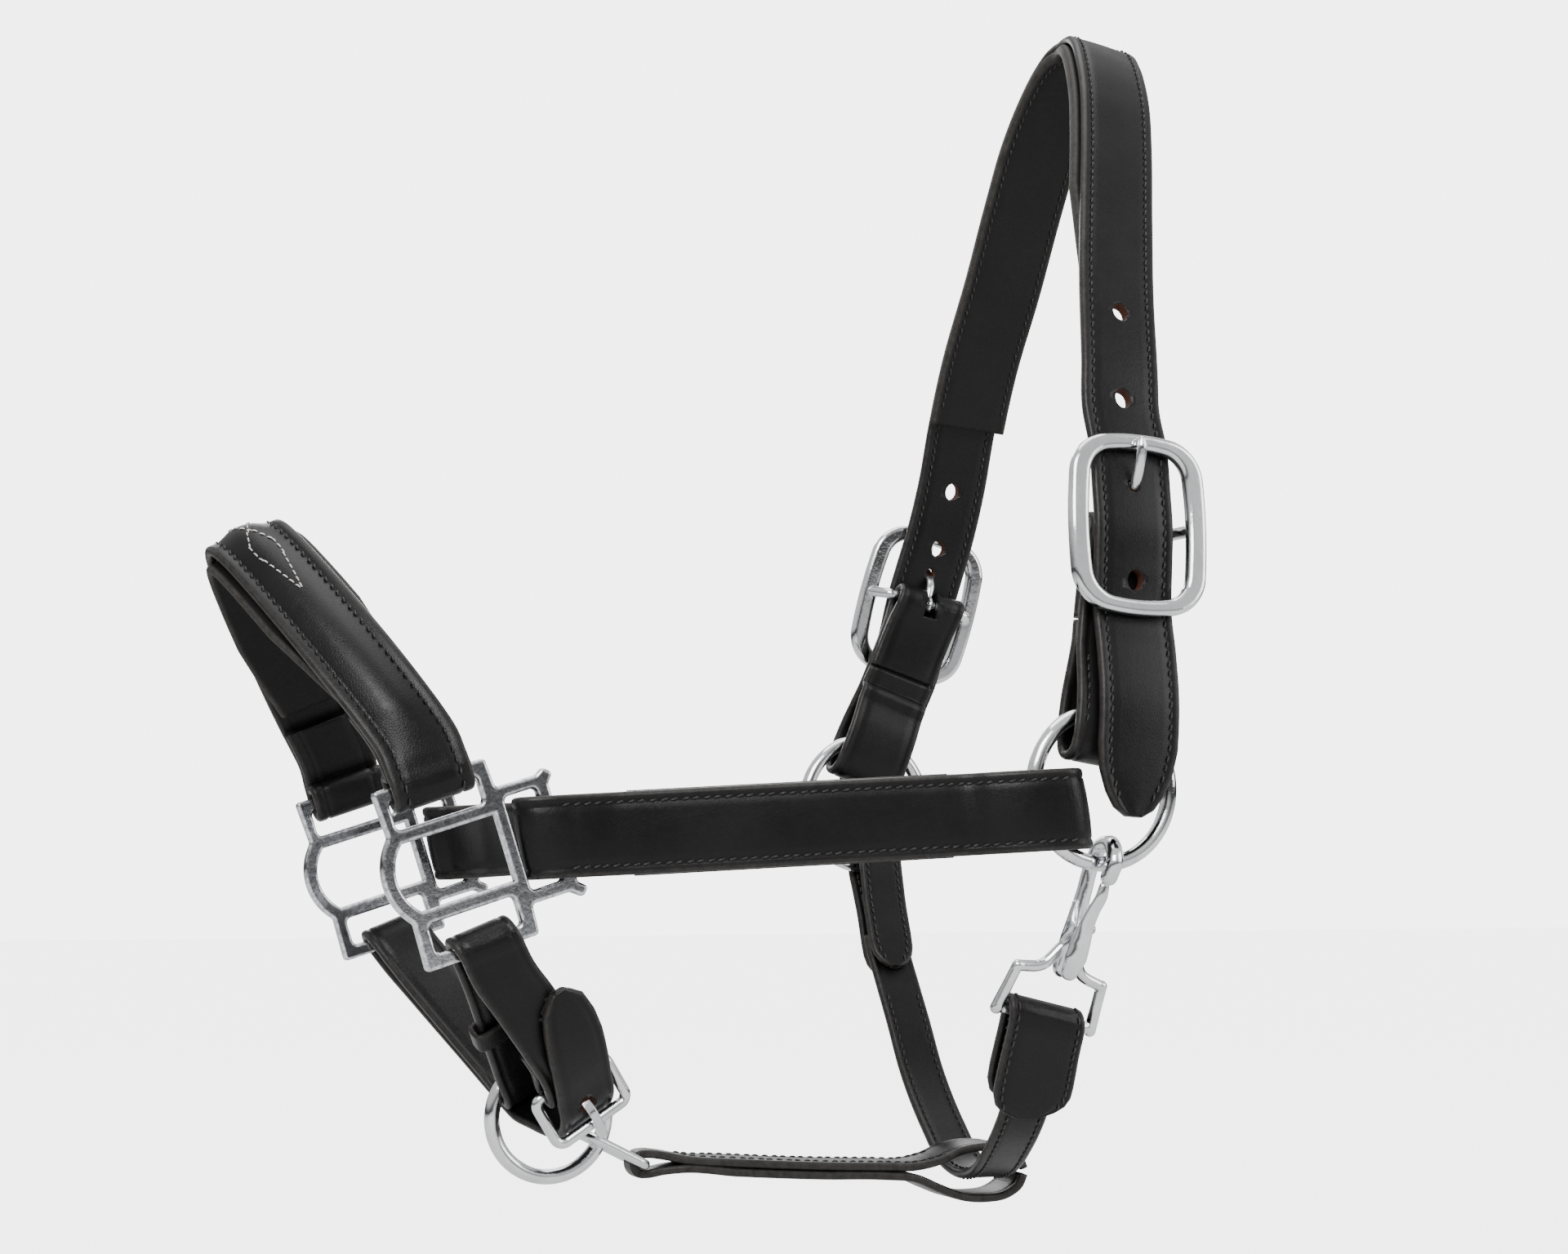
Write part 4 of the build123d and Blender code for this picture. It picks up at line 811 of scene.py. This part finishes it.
def nose_seat(distance, off):
    """Seat on the noseband's top face, by distance from the crest and offset across it."""
    goal = nose_stations[crest][RUN] + distance
    place, across, out, along, *_ = min(nose_stations, key=lambda s: abs(s[RUN] - goal))
    share = min(abs(off) / 8.0, 1)
    lift = LEATHER / 2 + NOSE_PUFF * (1 - share ** 2.6) ** 1.6 + 0.2
    return place + across * off + out * lift, along, across, out


def fancy(side):
    first_line = [(0, -3.6), (15, 3.9), (20, 3.9), (38, 0.2)]
    second_line = [(run, -off) for run, off in first_line]
    seats = []
    for line in (first_line, second_line):
        for (a, b), (c, d) in zip(line, line[1:]):
            count = max(2, round(math.hypot(c - a, d - b) / 2.5))
            for k in range(count):
                t = (k + 0.5) / count
                here = nose_seat((a + (c - a) * t) * side, b + (d - b) * t)
                heading = (here[1] * ((c - a) * side) + here[2] * (d - b)).normalized()
                seats.append((here[0], heading, here[3].cross(heading), here[3]))
    return seats


stitch_mesh("white_stitches", "nose", fancy(-1) + fancy(1), WHITE,
            length=2.1, radius=0.26)


# ---------------------------------------------------------------- snap hook and tongues
def tube(points, radii, side, flat=1.0):
    """Rounded bar through points: (verts, faces). side is about across it; flat thins the other way."""
    stations = frames(points, [side] * len(points), radii, 0.7)
    verts, faces = [], []
    last = len(stations) - 1
    for place, across, out, _, radius, _ in stations:
        for k in range(20):
            a = 2 * math.pi * k / 20
            verts.append(place + across * (radius * math.cos(a)) + out * (radius * flat * math.sin(a)))
    for i in range(last):
        for k in range(20):
            a, b = i * 20 + k, i * 20 + (k + 1) % 20
            faces.append((a, b, b + 20, a + 20))
    for end, sign in ((0, -1), (last, 1)):
        place, across, out, along, radius, _ = stations[end]
        ring = [end * 20 + k for k in range(20)]
        for turn in (0.4, 0.8, 1.15, 1.45):
            base = len(verts)
            for k in range(20):
                a = 2 * math.pi * k / 20
                size = radius * math.cos(turn)
                verts.append(place + across * (size * math.cos(a)) + out * (size * flat * math.sin(a))
                             + along * (sign * radius * flat * math.sin(turn)))
            for k in range(20):
                faces.append((ring[k], ring[(k + 1) % 20], base + (k + 1) % 20, base + k))
            ring = [base + k for k in range(20)]
        faces.append(tuple(ring))
    return verts, faces


def bars(name, body, node, runs):
    """Several rounded chrome bars as one piece that stands for a CAD node."""
    verts, faces = [], []
    for run in runs:
        more, rims = tube(*run)
        faces += [tuple(k + len(verts) for k in rim) for rim in rims]
        verts += more
    obj = make(name, verts, faces, [CHROME])
    outward(obj)
    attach(obj, body)
    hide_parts(node)


SNAP_OUT = SNAP_ACROSS.cross(SNAP_UP).normalized()


def snap(aside, outward_by, up_by):
    return ring_foot + SNAP_ACROSS * aside + SNAP_OUT * outward_by + SNAP_UP * up_by


hook = [(6.6, -2.2), (6.4, 3.0), (0.4, 6.9), (-5.6, 3.8), (-6.4, -3.0), (-4.6, -12), (-3.2, -20),
        (-1.8, -28), (-0.6, -36)]
runs = [([snap(0, a, b) for a, b in hook], [2.7, 2.7, 2.6, 2.5, 2.4, 2.5, 2.9, 3.4, 3.0], SNAP_ACROSS)]
for way in (-1, 1):
    arm = [(0, -1.9, -25), (3.2 * way, -1.2, -31), (6.8 * way, -0.5, -36.2), (15.4 * way, 0, -38.7)]
    runs.append(([snap(*place) for place in arm], [1.7, 1.9, 1.9, 1.8], SNAP_OUT))
    leg = [(15.4 * way, 0, -38.4), (16.2 * way, 0, -45), (17.2 * way, 0, -53.6)]
    runs.append(([snap(*place) for place in leg], [1.8, 1.8, 2.0], SNAP_OUT))
    ear = [(2.9 * way, -2.4, -15), (3.1 * way, 0.6, -19.5), (3.1 * way, 1.5, -21), (3.0 * way, -1.0, -27)]
    runs.append(([snap(*place) for place in ear], [1.0, 1.35, 1.35, 1.0], SNAP_ACROSS, 1.0))
runs.append(([snap(-17.0, 0, -53), snap(0, 0, -53), snap(17.0, 0, -53)], [1.9, 1.9, 1.9], SNAP_OUT))
bars("snap_body", "headpiece", "snap_hook", runs)
lever = [(5.9, -5.4), (6.6, -8.6), (5.2, -14), (4.2, -19), (4.6, -25), (5.4, -30.5), (5.0, -36.0)]
bars("snap_lever", "gate", "snap_gate",
     [([snap(0, a, b) for a, b in lever], [1.7, 2.0, 2.2, 2.7, 3.4, 3.7, 2.7], SNAP_ACROSS, 0.72)])

prong = [(2.2, 0.6), (4.6, 0.9), (7.6, 1.8), (10.2, 3.8), (12.2, 6.8), (14.4, 9.8), (18.4, 12.0),
         (22.4, 13.4), (25.2, 14.2), (27.2, 14.3)]
for side, word in ((NEAR, "near"), (FAR, "far")):
    seat = SEATS[side]
    eye = [seat.origin + seat.up * (2.8 * math.cos(a)) + seat.out * (2.8 * math.sin(a))
           for a in [2 * math.pi * k / 16 for k in range(17)]]
    bars(word + "_tongue_shape", word + "_tongue", word + "_crown_tongue",
         [([seat.place(a, b) for a, b in prong], [1.5, 1.55, 1.6, 1.6, 1.6, 1.7, 1.8, 1.8, 1.6, 1.1],
           seat.across, 0.85), (eye, [0.8] * 17, seat.across, 1.0)])


# ---------------------------------------------------------------- CAD hardware
finishes = {"steel": STEEL, "chrome": CHROME}
for row in frame["record"]["subparts"]:
    node = frame["nodes"][row["node"]]
    if node.hide_render:
        continue
    node.data.materials.clear()
    node.data.materials.append(CAST if "square" in row["node"] else finishes[row["material_slot"]])


# ---------------------------------------------------------------- floor, light and camera
# strength of the floor and the background as the camera sees them, and the glow's share of the floor
BACKDROP, GLOW_SHARE = 5.0, 0.88
bpy.ops.mesh.primitive_plane_add(size=12, location=(0, 0, -0.452))
floor = bpy.context.object
floor.name = "floor"
pale = Shader("pale_floor")
where = pale.add("ShaderNodeTexCoord").outputs["Object"]
mottle = pale.mix(pale.noise(where, 3, 2), (0.56, 0.56, 0.56), (0.6, 0.6, 0.6))
pale.join(mottle, pale.main.inputs["Base Color"])
pale.main.inputs["Roughness"].default_value = 0.7
glow = pale.add("ShaderNodeEmission")
glow.inputs["Strength"].default_value = BACKDROP
direct = pale.math("MULTIPLY", pale.add("ShaderNodeLightPath").outputs["Is Camera Ray"], GLOW_SHARE)
shown = pale.add("ShaderNodeMixShader")
pale.join(direct, shown.inputs["Fac"])
pale.join(pale.main.outputs["BSDF"], shown.inputs[1])
pale.join(glow.outputs[0], shown.inputs[2])
pale.join(shown.outputs[0], pale.tree.nodes["Material Output"].inputs["Surface"])
floor.data.materials.append(pale.material)


def light(name, place, target, size, power):
    data = bpy.data.lights.new(name, "AREA")
    data.shape = "RECTANGLE"
    data.size, data.size_y = size
    data.energy = power
    obj = bpy.data.objects.new(name, data)
    bpy.context.scene.collection.objects.link(obj)
    obj.location = place
    obj.rotation_euler = (Vector(target) - Vector(place)).to_track_quat("-Z", "Y").to_euler()


middle = (-0.12, 0, -0.2)
light("key", (-0.9, -1.3, 0.7), middle, (0.8, 0.8), 26)
light("fill", (1.2, -1.0, 0.3), middle, (1.0, 1.0), 11)
light("top", (-0.1, 0.1, 1.2), middle, (1.2, 1.2), 13)
light("back", (0.2, 1.4, 0.4), middle, (1.0, 0.6), 9)

world = bpy.data.worlds.new("studio")
bpy.context.scene.world = world
world.use_nodes = True
tree = world.node_tree
seen = tree.nodes["Background"]
seen.inputs["Color"].default_value = (1, 1, 1, 1)
seen.inputs["Strength"].default_value = BACKDROP
lit = tree.nodes.new("ShaderNodeBackground")
coords = tree.nodes.new("ShaderNodeTexCoord")
parts = tree.nodes.new("ShaderNodeSeparateXYZ")
ramp = tree.nodes.new("ShaderNodeValToRGB")
shift = tree.nodes.new("ShaderNodeMapRange")
shift.inputs["From Min"].default_value = -1
tree.links.new(coords.outputs["Generated"], parts.inputs[0])
tree.links.new(parts.outputs["Z"], shift.inputs["Value"])
tree.links.new(shift.outputs["Result"], ramp.inputs["Fac"])
ramp.color_ramp.elements[0].color = (0.1, 0.1, 0.1, 1)
ramp.color_ramp.elements[1].color = (1, 1, 1, 1)
for spot, grey in ((0.44, 0.16), (0.48, 0.06), (0.53, 0.08), (0.6, 0.8)):
    ramp.color_ramp.elements.new(spot).color = (grey, grey, grey, 1)
tree.links.new(ramp.outputs["Color"], lit.inputs["Color"])
lit.inputs["Strength"].default_value = 0.85
path_node = tree.nodes.new("ShaderNodeLightPath")
both = tree.nodes.new("ShaderNodeMixShader")
tree.links.new(path_node.outputs["Is Camera Ray"], both.inputs["Fac"])
tree.links.new(lit.outputs[0], both.inputs[1])
tree.links.new(seen.outputs[0], both.inputs[2])
tree.links.new(both.outputs[0], tree.nodes["World Output"].inputs["Surface"])

camera = bpy.data.cameras.new("camera")
camera.lens = 59.36
camera.sensor_width = 36
camera_object = bpy.data.objects.new("camera", camera)
bpy.context.scene.collection.objects.link(camera_object)
right = Vector((0.9292, -0.3696, 0))
up = Vector((-0.0357, -0.0898, 0.9953))
back = Vector((-0.3678, -0.9248, -0.0966))
turn = Matrix((right, up, back)).transposed().to_4x4()
camera_object.matrix_world = Matrix.Translation((-0.4444, -0.8141, -0.2944)) @ turn
bpy.context.scene.camera = camera_object
